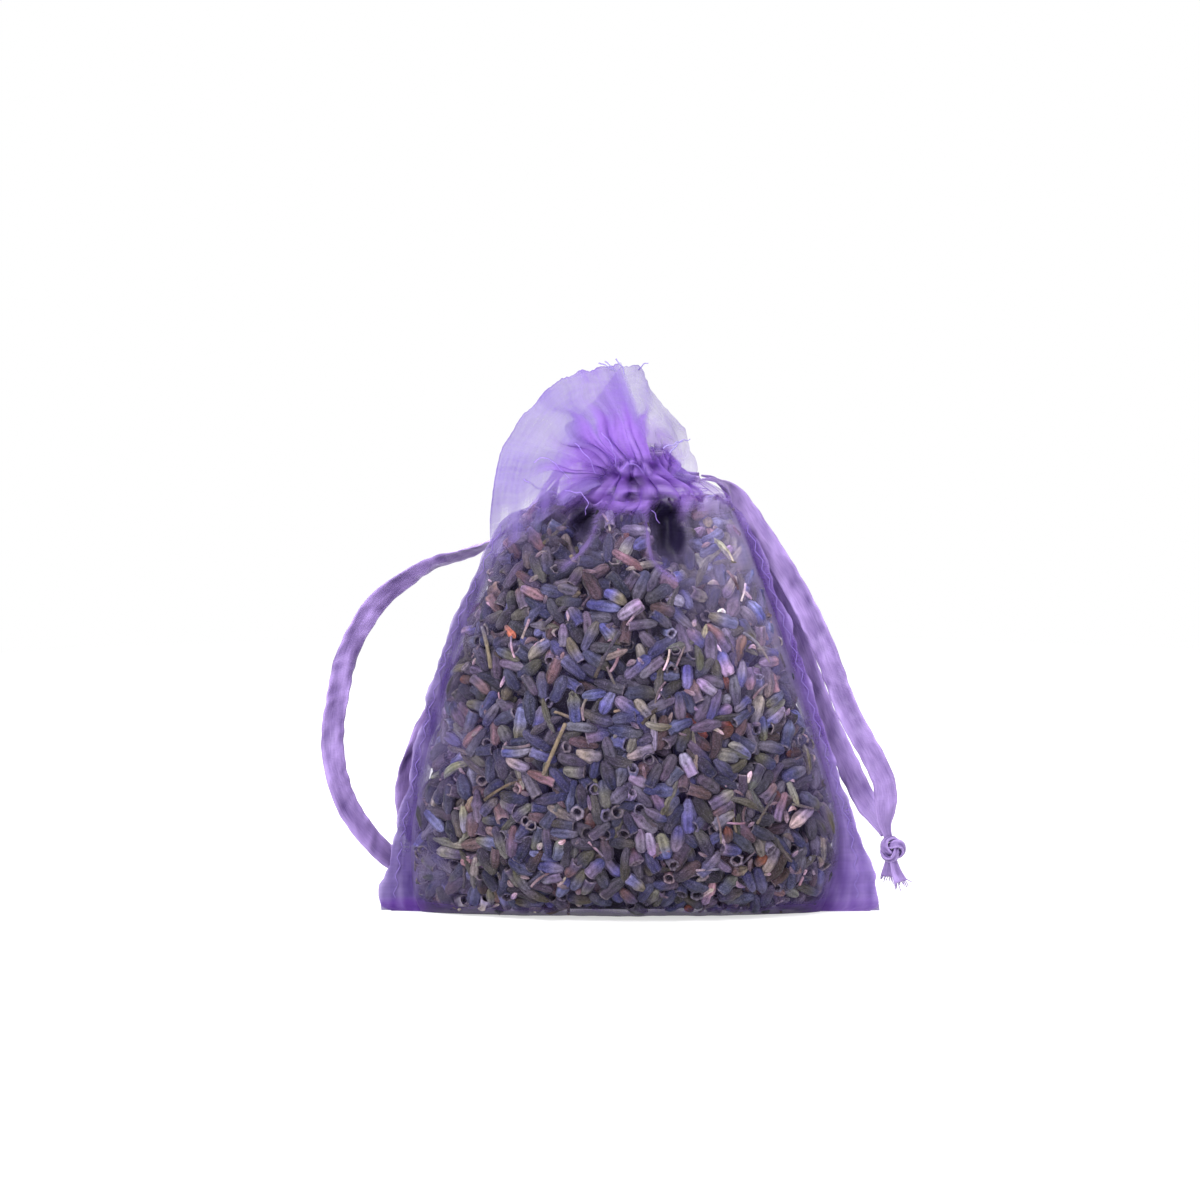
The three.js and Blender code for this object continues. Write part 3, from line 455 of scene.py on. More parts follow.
class Nodes:
    """The nodes of a material or the world, with short ways to add one and to link its inputs."""

    def __init__(self, block):
        """Clears the nodes of a material or the world."""
        block.use_nodes = True
        self.block = block
        self.tree = block.node_tree
        self.tree.nodes.clear()

    def add(self, kind, inputs=None, **settings):
        """A new node with its settings and its inputs, which are values or other nodes' sockets."""
        node = self.tree.nodes.new("ShaderNode" + kind)
        for key, value in settings.items():
            setattr(node, key, value)
        for key, value in (inputs or {}).items():
            if isinstance(value, bpy.types.NodeSocket):
                self.tree.links.new(value, node.inputs[key])
            else:
                node.inputs[key].default_value = value
        return node

    def made(self, kind, inputs=None, **settings):
        """The first output of a new node."""
        return self.add(kind, inputs, **settings).outputs[0]

    def number(self, name):
        """One of the numbers that the mesh carries."""
        return self.add("Attribute", attribute_name=name).outputs["Fac"]

    def maths(self, operation, a, b=0.0, c=0.0):
        """The result of a sum of up to three values."""
        return self.made("Math", {0: a, 1: b, 2: c}, operation=operation)

    def mix(self, factor, a, b, blend="MIX"):
        """A mixture of two colours."""
        return self.add("Mix", {0: factor, 6: a, 7: b}, data_type="RGBA", blend_type=blend).outputs[2]

    def remap(self, value, low=0.0, high=1.0, new_low=0.0, new_high=1.0):
        """A value clamped between two numbers and brought to two others."""
        return self.made("MapRange", {0: value, 1: low, 2: high, 3: new_low, 4: new_high})

    def noise(self, place, scale, detail=2.0, roughness=0.5):
        """Cloudy noise."""
        inputs = {"Vector": place, "Scale": scale, "Detail": detail, "Roughness": roughness}
        return self.add("TexNoise", inputs).outputs["Fac"]

    def object_place(self):
        """The place on the object, in metres."""
        return self.add("TexCoord").outputs["Object"]

    def cloth_place(self, across=1.0, along=1.0, apart=0.0):
        """The cloth's own millimetres, each scaled."""
        u = self.maths("MULTIPLY", self.number("cloth_u"), across)
        v = self.maths("MULTIPLY", self.number("cloth_v"), along)
        return self.made("CombineXYZ", {0: u, 1: v, 2: apart})

    def cloth_wave(self, way, pitch):
        """Even threads across or along the cloth."""
        return self.maths("SINE", self.maths("MULTIPLY", self.number(way), TURN / pitch))

    def relief(self, height, strength, distance):
        """The surface's direction, bent by a height."""
        return self.made("Bump", {"Height": height, "Strength": strength, "Distance": distance})

    def surface(self, colour, roughness, relief, specular=0.5, sheen=0.0, sheen_roughness=0.5):
        """An opaque surface."""
        return self.made("BsdfPrincipled", {
            "Base Color": colour, "Roughness": roughness, "Normal": relief, "Specular IOR Level": specular,
            "Sheen Weight": sheen, "Sheen Roughness": sheen_roughness,
        })

    def blend(self, share, first, second):
        """A mixture of two shaders."""
        return self.made("MixShader", {0: share, 1: first, 2: second})

    def seen(self):
        """1 where the camera looks, also through or off something, and 0 for the light on the sachet."""
        rays = self.add("LightPath").outputs
        through = self.maths("MAXIMUM", rays["Is Glossy Ray"], rays["Is Transmission Ray"])
        return self.maths("MAXIMUM", rays["Is Camera Ray"], through)

    def output(self, shader, kind="Material"):
        """Sends a shader out, and gives back the material or the world."""
        self.add(f"Output{kind}", {"Surface": shader})
        return self.block


def new_material(name):
    """The nodes of a new material."""
    return Nodes(bpy.data.materials.new(name))


def linear(red, green, blue):
    """A colour from its 0 to 255 display values."""
    shares = [c / 255 for c in (red, green, blue)]
    return tuple(s / 12.92 if s <= 0.04045 else ((s + 0.055) / 1.055) ** 2.4 for s in shares) + (1.0,)


def woven(n):
    """A weave's threads and uneven slubs, as a factor of about 1, and the threads alone."""
    across, along = (n.cloth_wave(way, WEAVE_PITCH) for way in ("cloth_u", "cloth_v"))
    threads = n.maths("MULTIPLY", across, along)
    weft = n.noise(n.cloth_place(0.12, 2.6), 1.0)
    warp = n.noise(n.cloth_place(2.2, 0.1, 5.0), 1.0)
    slubs = n.maths("ADD", n.maths("MULTIPLY", weft, 1.4), warp)
    total = n.maths("MULTIPLY_ADD", threads, 0.3, n.maths("SUBTRACT", slubs, 1.2))
    return n.maths("MULTIPLY_ADD", total, WEAVE_AMOUNT, 1.0), threads


GATHERED_DEEP = linear(106, 58, 164)
GATHERED_PALE = linear(160, 124, 210)
HOLLOW_SHADE = linear(26, 16, 50)
ORGANZA_THROUGH = 0.45
RIBBON_THROUGH = 0.25
RIB_PITCH = 0.22


def organza_material(name, deep, pale):
    """Sheer cloth: thin cloth lets through what is behind, crests are paler as painted highlight, fold
    pockets are darkened as painted shade, gathers are more vivid.
    """
    n = new_material(name)
    weave, threads = woven(n)
    cloud = n.noise(n.cloth_place(), 0.22, 3.0)
    # Painted highlight: paler on the cloth's crests, mixed with random cloud.
    crest = n.remap(n.maths("MULTIPLY_ADD", cloud, 0.7, n.maths("SUBTRACT", n.number("crest"), 0.35)))
    vivid = n.mix(crest, GATHERED_DEEP, GATHERED_PALE)
    colour = n.mix(n.number("gathered"), n.mix(crest, deep, pale), vivid)
    # Painted shade: the folds' pockets and the foot are mixed towards a near-black violet.
    colour = n.mix(n.number("hollow"), colour, HOLLOW_SHADE)
    uneven = n.remap(cloud, 0.3, 0.7, 0.88, 1.12)
    solid = n.remap(n.maths("MULTIPLY", n.maths("MULTIPLY", n.number("solid"), weave), uneven))
    ridges = n.relief(threads, 0.25, 0.00003)
    face = n.surface(colour, 0.5, ridges, 0.3, 0.12, 0.4)
    through = n.made("BsdfTranslucent", {"Color": colour, "Normal": ridges})
    cloth = n.blend(ORGANZA_THROUGH, face, through)
    return n.output(n.blend(solid, n.made("BsdfTransparent"), cloth))


def ribbon_material():
    """Fine ribbed ribbon, a little translucent, with creases paler on their ridges as painted highlight,
    and paler edges.
    """
    n = new_material("ribbon_cloth")
    ribs = n.cloth_wave("cloth_v", RIB_PITCH)
    warp = n.noise(n.cloth_place(6.0, 0.5), 1.0, 3.0)
    cloud = n.noise(n.cloth_place(2.0, 0.35), 0.7, 3.0)
    tone = n.maths("MULTIPLY_ADD", warp, 0.45, n.maths("MULTIPLY", cloud, 0.45))
    # Painted highlight: raised creases are drawn paler; the edges are paler too.
    tone = n.maths("MULTIPLY_ADD", n.number("crest"), 0.85, n.maths("SUBTRACT", tone, 0.3))
    colour = n.mix(n.remap(tone, 0.1, 0.85), linear(80, 56, 118), linear(172, 146, 208))
    relief = n.relief(n.maths("MULTIPLY_ADD", ribs, 0.4, n.maths("MULTIPLY", warp, 0.9)), 0.5, 0.00006)
    face = n.surface(colour, 0.46, relief, 0.4, 0.2, 0.4)
    through = n.made("BsdfTranslucent", {"Color": colour, "Normal": relief})
    return n.output(n.blend(RIBBON_THROUGH, face, through))


def thread_material(name, dark, light):
    """Spun thread: twisted plies of two tones."""
    n = new_material(name)
    plies = n.noise(n.object_place(), 9000.0, 1.0)
    return n.output(n.surface(n.mix(plies, dark, light), 0.6, n.relief(plies, 0.4, 0.00003)))


def grain_material():
    """Dried calyx: its own colour, mottled, with a painted highlight along its ribs, painted shade inside
    the open ones, and a velvety bloom.
    """
    n = new_material("dried_lavender")
    own = n.add("Attribute", attribute_name="grain_colour").outputs["Color"]
    place = n.object_place()
    mottle = n.noise(place, 1100.0, 3.0, 0.6)
    fuzz = n.noise(place, 5200.0, 2.0, 0.6)
    shade = n.maths("MULTIPLY_ADD", mottle, 1.5, n.maths("MULTIPLY_ADD", fuzz, 0.9, -0.46))
    # Painted highlight along the ribs, painted shade between them.
    shade = n.maths("MULTIPLY_ADD", n.number("rib"), 0.24, shade)
    toned = n.mix(1.0, own, n.made("CombineColor", {0: shade, 1: shade, 2: shade}), "MULTIPLY")
    bloom = n.mix(n.remap(fuzz, 0.52, 0.8, 0.0, 0.2), toned, linear(158, 150, 166))
    # Painted shade: the inner rings of open grains are mixed to near black.
    colour = n.mix(n.number("inside"), bloom, linear(26, 20, 26))
    relief = n.relief(n.maths("MULTIPLY_ADD", fuzz, 0.7, mottle), 0.8, 0.00016)
    return n.output(n.surface(colour, 0.8, relief, 0.2, 0.06))


def painted_shade_heap_material():
    """The mass of buds under the outer ones, coloured near black as painted shade in the gaps between them.
    """
    n = new_material("lavender_mass_painted_shade")
    place = n.object_place()
    lumps = n.add("TexVoronoi", {"Vector": place, "Scale": 520.0, "Randomness": 1.0}).outputs["Distance"]
    grain = n.noise(place, 900.0, 4.0, 0.65)
    colour = n.mix(n.remap(grain, 0.35, 0.65), linear(16, 13, 20), linear(40, 34, 48))
    return n.output(n.surface(colour, 0.95, n.relief(lumps, 0.8, 0.0006)))


# The shape of the pouch


def body_at(height):
    """Edge, fill, depth and lean at heights, in millimetres."""
    shares = smooth_at(BODY_SHARES[:, 0] * BODY_HEIGHT, BODY_SHARES[:, 1:], np.asarray(height, float))
    edge, fill, lean = (shares[..., k] * HALF_WIDTH for k in (0, 1, 3))
    return edge, fill, shares[..., 2] * HALF_DEPTH, lean


def fold_depth(x, z, side):
    """How far the folds below the neck press the cloth in."""
    pressed = np.zeros(np.broadcast(x, z).shape)
    for rows in BODY_FOLDS[side]:
        rows = np.array(rows, float)
        fold_x, deep, half = smooth_at(rows[:, 0], rows[:, 1:], z).transpose(-1, *range(np.ndim(z)))
        deep = np.where(z < rows[0, 0], 0, np.maximum(deep, 0))
        pressed += deep * bump(x, fold_x, np.maximum(half, 0.4))
    return pressed


def right_ear(z):
    """How much further the flat corner reaches in at the right of the foot."""
    return RIGHT_EAR_EXTRA * np.exp(-((z / RIGHT_EAR_HEIGHT) ** 2))


def fill_at(x, z):
    """How far the fill reaches to the side of a point, the lean there and the half depth."""
    _, fill, depth, lean = body_at(z)
    return np.where(x > lean, fill - right_ear(z), fill), lean, depth


def cloth_depth(x, z, side):
    """How far the cloth stands out from the middle plane."""
    fill, lean, depth = fill_at(x, z)
    across = np.clip(np.abs(x - lean) / fill, 0, 1)
    lens = depth * (1 - across ** 2) ** (SECTION_PINCH / 2)
    return lens - np.minimum(fold_depth(x, z, side), DEEPEST_FOLD * lens)


def own_depth(x, z, front):
    """How far the cloth stands out on each point's own face."""
    return np.where(front, cloth_depth(x, z, FRONT), cloth_depth(x, z, BACK))


def neck_at(height):
    """Half length, half depth and middle of the neck at heights."""
    rows = smooth_at(NECK_ROWS[:, 0], NECK_ROWS[:, 1:], np.asarray(height, float))
    return tuple(rows[..., k] for k in range(3))


def gather_phase(s, side):
    """The phase of the small gathers round the neck, unevenly spaced."""
    uneven = 0.022 * np.sin(TURN * 2.3 * s + side) + 0.014 * np.sin(TURN * 5.1 * s + 2 * side)
    return TURN * GATHERS * (s + uneven)


def gathered_shares(s, side, strength):
    """Column shares pushed to and fro, so that the cloth doubles back where the gathers are strong."""
    window = np.sin(math.pi * np.clip(s, 0, 1)) ** 0.5
    return s + strength * window * np.sin(gather_phase(s, side)) / (TURN * GATHERS)


def seam_sway(z, hand):
    """How far the rim of a side seam sways to the front or the back."""
    return 0.35 * waves(31 + hand, z[..., None], 6) + 0.18 * waves(37 + hand, z[..., None], 2)


def seam_wing(side, hand, heights, inner):
    """One face of a side seam: flat cloth from the side of the filled body out to the rim."""
    share = np.linspace(0, 1, FLANGE_COLUMNS + 1)[1:][::hand]
    edge, _, _, lean = body_at(heights)
    rounding = np.sqrt(np.clip(1 - (1 - heights / CORNER_RADIUS) ** 2, 0, 1))
    rim = (edge - CORNER_CUT * (1 - rounding) * (heights < CORNER_RADIUS)) * hand + lean
    z, inner, rim = (np.repeat(a[:, None], FLANGE_COLUMNS, axis=1) for a in (heights, inner, rim))
    wavy = 0.25 * waves(23 + hand, z[..., None], 7) + 0.1 * waves(29 + hand, z[..., None], 2.3)
    closing = 1 - smooth_step(NECK_JOIN, 1, z / BODY_HEIGHT)
    x = inner + (rim - inner + wavy) * share * closing
    y = side * FLANGE_HALF_GAP * (1 - 0.5 * share) + seam_sway(z, hand) * share * closing
    return np.stack([x, y, z], axis=-1)


def body_sheet(side):
    """Points of the front or the back, from the seam's edge to the other, and from the foot to the neck."""
    heights = BODY_HEIGHT * np.linspace(0, 1, BODY_ROWS) ** 0.9
    z, s = np.meshgrid(heights, np.linspace(0, 1, SHEET_COLUMNS), indexing="ij")
    moved = gathered_shares(s, side, FULLEST_GATHER * smooth_step(47, BODY_HEIGHT, z) ** 1.5)
    _, fill, _, lean = body_at(z)
    across, deep = -np.cos(math.pi * moved), np.sin(math.pi * moved)
    x = lean + np.where(across > 0, fill_at(lean + 1, z)[0], fill) * across
    y = cloth_depth(x, z, side)
    half_length, half_depth, middle = neck_at(z)
    joined_share = smooth_step(NECK_JOIN, 1, z / BODY_HEIGHT)
    y = y + (half_depth * deep - y) * joined_share
    x = x + (middle + half_length * across - x) * joined_share
    if side == FRONT:
        y = y + 1.5 * bump(z, 57.4, 1) * smooth_step(3.6, 2.4, np.abs(x + 1))
    calm = 1 - 0.85 * smooth_step(0.78, 0.97, np.abs(across))
    ripple = 0.55 * calm * smooth_step(50, BODY_HEIGHT, z) * np.cos(gather_phase(s, side))
    x = x + ripple * across
    y = y + ripple * deep
    place = np.stack([x, z], axis=-1)
    loose = smooth_step(0, 0.3, y / HALF_DEPTH)
    y = y + 0.16 * waves(11 + side, place, 3.1) * loose + 0.2 * waves(17 + side, place, 9) * loose
    y = y + 0.5 * lip_height(x, z, side) * loose
    y = np.maximum(y, 0.02) + FLANGE_HALF_GAP
    filled = np.stack([x, side * y, z], axis=-1)
    wings = [seam_wing(side, hand, heights, filled[:, end, 0]) for hand, end in ((-1, 0), (1, -1))]
    grid = np.concatenate([wings[0], filled, wings[1]], axis=1)
    top = smooth_step(0.96, 1, grid[..., 2] / BODY_HEIGHT)
    grid[..., 2] += 0.5 * top * waves(49 + side, grid[-1:, :, :1] + 0 * grid[..., :1], 4)
    grid[0, :, 2] = FOOT_HEIGHT
    return grid


def body_density(grid, side):
    """How solid the cloth of the body looks, its tone with painted light on its crests and upper right, the
    painted shade in its folds' pockets and along its foot, and where it is gathered.
    """
    x, z = grid[..., 0], grid[..., 2]
    _, fill, _, lean = body_at(z)
    across = np.abs(x - lean) / fill
    place = np.stack([x, z], -1)
    right = x > lean
    lips = lip_height(x, z, side)
    share = flange_share(x, z)
    flange = smooth_step(-0.45, 0.1, share)
    # Painted light: the upper right of the body's cloth is drawn paler and denser, as if lit from there.
    painted_right_light = smooth_step(1, 15, x) * smooth_step(28, 48, z)
    # Along the foot the cloth is denser and more vivid, and darker as painted shade under the belly.
    foot = 1 - smooth_step(1.3, 2.4, z + 0.3 * waves(53, x[..., None], 7))
    ragged = z + 0.9 * waves(47 + side, x[..., None], 4)
    inward = smooth_step(0.6, 0.95, across)

    density = 0.045 + 0.22 * smooth_step(0.74, 1, across) + 0.34 * smooth_step(0.95, 1.02, across)
    density += 0.24 * painted_right_light * (1 - 0.3 * smooth_step(50, 56, z)) + 0.08 * smooth_step(44, 55, z)
    density += 0.16 * smooth_step(8, 22, x) * smooth_step(0.9, 1.01, across) * smooth_step(50, 30, z)
    density += 0.12 * waves(41 + side, place, 16) * smooth_step(0.3, 0.9, across)
    density += 0.04 * waves(45 + side, place, 7) + 0.07 * (side == BACK)
    density = np.maximum(density, 0.035)
    wrinkles = waves(63 + side, place * np.array([1, 0.22]), 1.7)
    solid_edge = 0.66 + 0.08 * wrinkles + 0.2 * smooth_step(12, 3, z) - 0.25 * smooth_step(44, 54, z)
    density = density + (solid_edge - density) * flange
    density += 0.8 * lips + 0.7 * foot
    density += 0.4 * smooth_step(55.4, 58.4, ragged) * (1 - 0.6 * inward)
    density *= 1 - 0.7 * smooth_step(0.997, 1, z / BODY_HEIGHT)

    # Tone with painted light: paler on the upper right, towards the neck, on the fold lips and in lines
    # along the seams; darker along the foot as painted shade.
    crest = 0.3 + 0.18 * waves(43 + side, place, 6) + 0.6 * painted_right_light + 0.2 * smooth_step(48, 57, z)
    crest = crest + 0.15 * smooth_step(0.8, 1, across)
    folded_over = 0.45 * bump(share, 1, 0.09) + 0.25 * bump(share, 0.4, 0.07)
    edge_crest = 0.04 + 0.06 * right + 0.3 * share + 0.16 * wrinkles + folded_over
    edge_crest = edge_crest + right * (0.05 + 0.3 * share * smooth_step(14, 4, z))
    crest = crest + (edge_crest - crest) * flange
    crest += 0.25 * lips - 0.5 * foot * (1 - flange)

    # Painted shade in the folds' pockets and along the foot; the pockets' cloth is made denser too.
    hollow = hollow_at(x, z, side) * (1 - 0.85 * lips)
    density = np.maximum(density, hollow * 0.92)
    hollow = np.maximum(hollow, foot * (0.6 - 0.45 * flange))

    gathered = smooth_step(54.5, 58.2, ragged) * (1 - 0.7 * inward)
    gathered = gathered * (1 - 0.7 * smooth_step(6, 10, x) * (side == FRONT))
    for share_gathered in (0.8 * lips, 0.8 * foot, flange * (0.15 + 0.4 * right)):
        gathered = np.maximum(gathered, share_gathered)
    return np.clip(density, 0, 0.97), np.clip(crest, 0, 1), hollow, gathered


def flange_share(x, z):
    """How far across the sewn edge points are: below 0 on the filled body, 1 at the rim."""
    edge, _, _, lean = body_at(z)
    fill = fill_at(x, z)[0]
    return np.clip((np.abs(x - lean) - fill) / (edge - fill + 0.01), -1, 1)


def lip_height(x, z, side):
    """How near points are to a line where the cloth is folded sharp."""
    lips = np.zeros(np.shape(x))
    for line in FOLD_LIPS[side]:
        away, share = line_distance(x, z, line)
        lips = np.maximum(lips, bump(away, 0, 0.42) * (1 - 0.5 * share))
    return lips


def hollow_at(x, z, side):
    """How deep points of the front or the back lie in a fold's pocket: how strong the painted shade is
    there, which also sinks the channel's cloth and keeps grains out.
    """
    hollow = np.zeros(np.shape(x))
    for mid_x, mid_z, half_x, half_z, dark in HOLLOWS[side]:
        away = np.hypot((x - mid_x) / half_x, (z - mid_z) / half_z)
        hollow = np.maximum(hollow, dark * (1 - smooth_step(0.45, 1.25, away)))
    return hollow


def sheet_numbers(grid, density, crest, hollow=0.0, gathered=1.0, width=BODY_SPAN, start=0.0):
    """The numbers that the cloth's material reads, one for each point."""
    steps = np.linalg.norm(np.diff(grid, axis=0), axis=-1).mean(1)
    numbers = {
        "cloth_u": np.linspace(0, width, grid.shape[1])[None],
        "cloth_v": np.concatenate([[0], np.cumsum(steps)])[:, None] + start,
        "solid": density, "crest": crest, "hollow": hollow, "gathered": gathered,
    }
    return {key: np.broadcast_to(values, grid.shape[:2]) for key, values in numbers.items()}


def add_body(side, name, node, material):
    """The front or the back of the pouch, with its half of the side seams."""
    grid = body_sheet(side)
    piece = grid_piece(name, grid, sheet_numbers(grid, *body_density(grid, side)))
    finish_piece(piece, material, nodes=[node])


def add_base(material):
    """The bottom fold, flat between the front and the back."""
    foot = {side: body_sheet(side)[0, FLANGE_COLUMNS:-FLANGE_COLUMNS] for side in (FRONT, BACK)}
    share = np.linspace(0, 1, 14)[:, None, None]
    grid = foot[FRONT][None] * (1 - share) + foot[BACK][None] * share
    dimple = 0.25 + 0.15 * waves(51, grid[..., :2], 5)
    grid[..., 2] = 0.08 + dimple * np.sin(math.pi * share[..., 0]) ** 0.5
    density = np.full(grid.shape[:2], 0.62)
    piece = grid_piece("base_cloth", grid, sheet_numbers(grid, density, density * 0.3))
    finish_piece(piece, material, nodes=["base_panel"])


def seam_at(z, hand):
    """How far the fill and the rim reach from the lean at a side seam, and the lean."""
    edge, fill, _, lean = body_at(z)
    return fill - (right_ear(z) if hand > 0 else 0), edge, lean


def add_side_band(name, hand, node, material):
    """The sewn edge between the front and the back: cloth folded over and stitched."""
    heights = np.linspace(0.15, 0.96 * BODY_HEIGHT, 150)
    z = heights[:, None]
    fill, edge, lean = seam_at(z, hand)
    inner = lean + hand * (fill - 1)
    outer = lean + hand * (edge - 0.15) + 0.2 * waves(23 + hand, z, 7)[:, None]
    angle = TURN * np.arange(18) / 18
    flat = np.sign(np.cos(angle)) * np.abs(np.cos(angle)) ** 0.7
    thick = 0.14 + 0.03 * waves(57 + hand, z, 1.9)[:, None]
    x = (inner + outer) / 2 + (outer - inner) / 2 * flat
    share = np.clip((np.abs(x - lean) - fill) / (edge - fill), 0, 1)
    y = seam_sway(heights, hand)[:, None] * share + thick * (1 - 0.5 * share) * np.sin(angle)
    z = z + 0 * x
    rings = np.stack([x, y, z], axis=-1)
    crest = 0.15 + 0.25 * share + 0.15 * waves(61 + hand, rings[..., ::2] * np.array([1, 0.3]), 1.6)
    numbers = {
        "cloth_u": x, "cloth_v": z, "crest": np.clip(crest, 0, 1), "hollow": 0 * x,
        "solid": 0.5 + 0.15 * smooth_step(14, 4, z) - 0.25 * smooth_step(44, 54, z),
        "gathered": 0.15 + 0.3 * (hand > 0) + 0 * x,
    }
    finish_piece(tube_piece(name, rings, numbers), material, nodes=[node])


def add_seam_stitches(name, hand, node, material):
    """Zigzag overlock thread on both faces of a side seam."""
    z = np.linspace(2, 0.93 * BODY_HEIGHT, 320)
    fill, edge, lean = seam_at(z, hand)
    zigzag = 2 * np.abs((z / OVERLOCK_PITCH) % 1 - 0.5) * 2 - 1
    x = lean + hand * (fill + 0.55 * (edge - fill) + OVERLOCK_SWING * zigzag)
    tubes = []
    for side in (FRONT, BACK):
        y = np.full(len(z), side * (FLANGE_HALF_GAP + 0.12))
        tubes.append(round_rings(np.stack([x, y, z], axis=1), OVERLOCK_RADIUS, 5))
    finish_piece(joined_tubes(name, tubes), material, nodes=[node])


# The channel, the ruffle and the lining


def channel_sheet(side):
    """Bunched channel, drawn in to a waist by the ribbons."""
    z = np.linspace(BODY_HEIGHT - CHANNEL_LAP, CHANNEL_TOP - 0.4, 76)
    z, s = np.meshgrid(z, np.linspace(0, 1, SHEET_COLUMNS), indexing="ij")
    up = np.clip((z - BODY_HEIGHT) / (CHANNEL_TOP - BODY_HEIGHT), 0, 1)
    bunched = np.sin(math.pi * up)
    low = smooth_step(BODY_HEIGHT - CHANNEL_LAP, BODY_HEIGHT + 0.6, z)
    moved = gathered_shares(s, side, FULLEST_GATHER + 0.9 * bunched)
    along = s[..., None] * CHANNEL_SPAN
    place = np.stack([s * CHANNEL_SPAN, z], axis=-1)
    phase = gather_phase(s, side) + 1.9 * bunched * waves(69 + side, along, 9)
    phase = phase + 1.6 * (up - 0.5) * np.sin(TURN * 1.4 * s + 2)
    crumple = 0.6 * waves(71 + side, place, 3.4) + 0.34 * waves(75 + side, place, 1.7)
    fold = (0.5 + 0.3 * waves(67 + side, along, 5)) * np.cos(phase) + bunched * crumple
    half_length, half_depth, middle = neck_at(z)
    across, deep = -np.cos(math.pi * moved), np.sin(math.pi * moved)
    calm = 1 - 0.8 * smooth_step(0.78, 0.97, np.abs(across)) * smooth_step(62.5, 60, z)
    out = fold * calm * (0.3 + 0.7 * low) + 0.3 * bunched - 0.35 * (1 - low)
    x = middle + (half_length + out) * across
    # The folds' pockets sink the channel's cloth and carry painted shade.
    hollow = hollow_at(x, z, side)
    arc, _ = line_distance(x, z, CHANNEL_ARC)
    lip = bump(arc, 0, 0.35) * (side == FRONT)
    y = (half_depth + out) * deep + FLANGE_HALF_GAP * (1 - deep) * 0.5 + 0.9 * lip - 1.3 * hollow
    # Painted highlight on the outward folds and the lip, and painted light paler towards the right.
    crest = np.clip(0.32 + 0.5 * fold + 0.6 * lip, 0, 1)
    crest = np.clip(crest + 0.3 * smooth_step(6, 10, x), 0, 1)
    density = np.clip(0.62 + 0.2 * waves(73 + side, place, 3) + 0.3 * bunched + 0.2 * lip, 0.4, 0.95)
    ragged = z + 0.8 * waves(79 + side, along, 4)
    thinned = 0.92 * smooth_step(64.4, 65.8, ragged + 0.55 * np.maximum(x - 3, 0))
    density = density * (1 - thinned) * smooth_step(56.2, 57.2, ragged)
    density = density * (1 - 0.55 * smooth_step(7.5, 11, x))
    return np.stack([x, side * y, z], axis=-1), density, crest, hollow


def add_channel(side, name, node, material):
    """The channel's front or back, and its points for the stitches."""
    grid, density, crest, hollow = channel_sheet(side)
    piece = grid_piece(name, grid, sheet_numbers(grid, density, crest, hollow, start=CHANNEL_START))
    finish_piece(piece, material, nodes=[node])
    return grid


# Ruffle: for each column its foot at the neck, two points on the way and its edge
FRONT_RUFFLE = [
    [(-3.4, -3.9, 60.4), (-8.8, -7, 58), (-14.2, -7.6, 53.9), (-18.9, -5, 50)],
    [(-3.4, -4, 61.1), (-8.8, -6.8, 61), (-14.4, -7.4, 58.8), (-19.4, -5.6, 57)],
    [(-3.1, -4.1, 61.7), (-8.4, -6.5, 63.2), (-13.7, -7.6, 63.6), (-18, -7, 63.7)],
    [(-2.6, -4.2, 62.3), (-7.3, -6.8, 65.2), (-11.8, -8.2, 67.6), (-15.2, -8, 69.3)],
    [(-1.8, -4.3, 62.8), (-5.5, -6.8, 66.9), (-8.9, -8.2, 70.9), (-11.4, -8, 73.8)],
    [(-0.7, -4.4, 63.1), (-3.3, -6.6, 67.8), (-5.7, -7.8, 72.4), (-7.5, -7.6, 76)],
    [(0.9, -4.5, 63.3), (-0.9, -6.4, 68), (-2.6, -7.2, 72.8), (-4.3, -7, 76.7)],
    [(3.1, -4.6, 63.4), (1.9, -6.2, 68), (0.5, -6.7, 72.6), (-1.2, -6.4, 77.3)],
]
BACK_RUFFLE = [
    [(-2.8, 1.5, 64), (-4.8, 2.8, 66.2), (-6.6, 3.2, 67.7), (-8.2, 3, 68.3)],
    [(-2.4, 2.4, 64.4), (-3.2, 3.8, 67.8), (-3.8, 4.5, 70.6), (-4, 4.4, 73)],
    [(-1.6, 3, 64.6), (-2, 4.4, 68.3), (-2.3, 5, 71.6), (-2.3, 5, 74.7)],
    [(-0.4, 3.2, 64.8), (-0.6, 4.8, 68.6), (-0.8, 5.4, 72.4), (-0.7, 5, 75.9)],
    [(1, 3.2, 64.8), (1.4, 4.8, 68.6), (1.8, 5.4, 72.2), (1.8, 4.6, 75.5)],
    [(2.4, 3, 64.4), (3.1, 4.4, 67.6), (3.8, 4.8, 70), (4, 3.6, 71.9)],
    [(3.6, 2, 63.8), (4.9, 3.4, 66), (6, 3.4, 67.5), (6.8, 2, 68.3)],
    [(4.4, 0.4, 63), (6, 1.2, 64.4), (7.5, 0.9, 65), (8.6, 0, 64.6)],
    [(4.8, -1.4, 62), (6.4, -1.6, 62.6), (7.8, -2, 62.4), (8.8, -2.2, 61.5)],
    [(4.6, -3.2, 60.8), (5.8, -3.8, 61), (6.8, -3.9, 60.8), (7.6, -3.8, 60.2)],
]


def through_rails(rails, w):
    """Points on the cubic through four rails, which w reaches at 0, a third, two thirds and 1."""
    a, b, c, d = rails
    one, two = 1 / 3, 2 / 3
    return (
        a * (w - one) * (w - two) * (w - 1) * -4.5 + b * w * (w - two) * (w - 1) * 13.5
        + c * w * (w - one) * (w - 1) * -13.5 + d * w * (w - one) * (w - two) * 4.5
    )


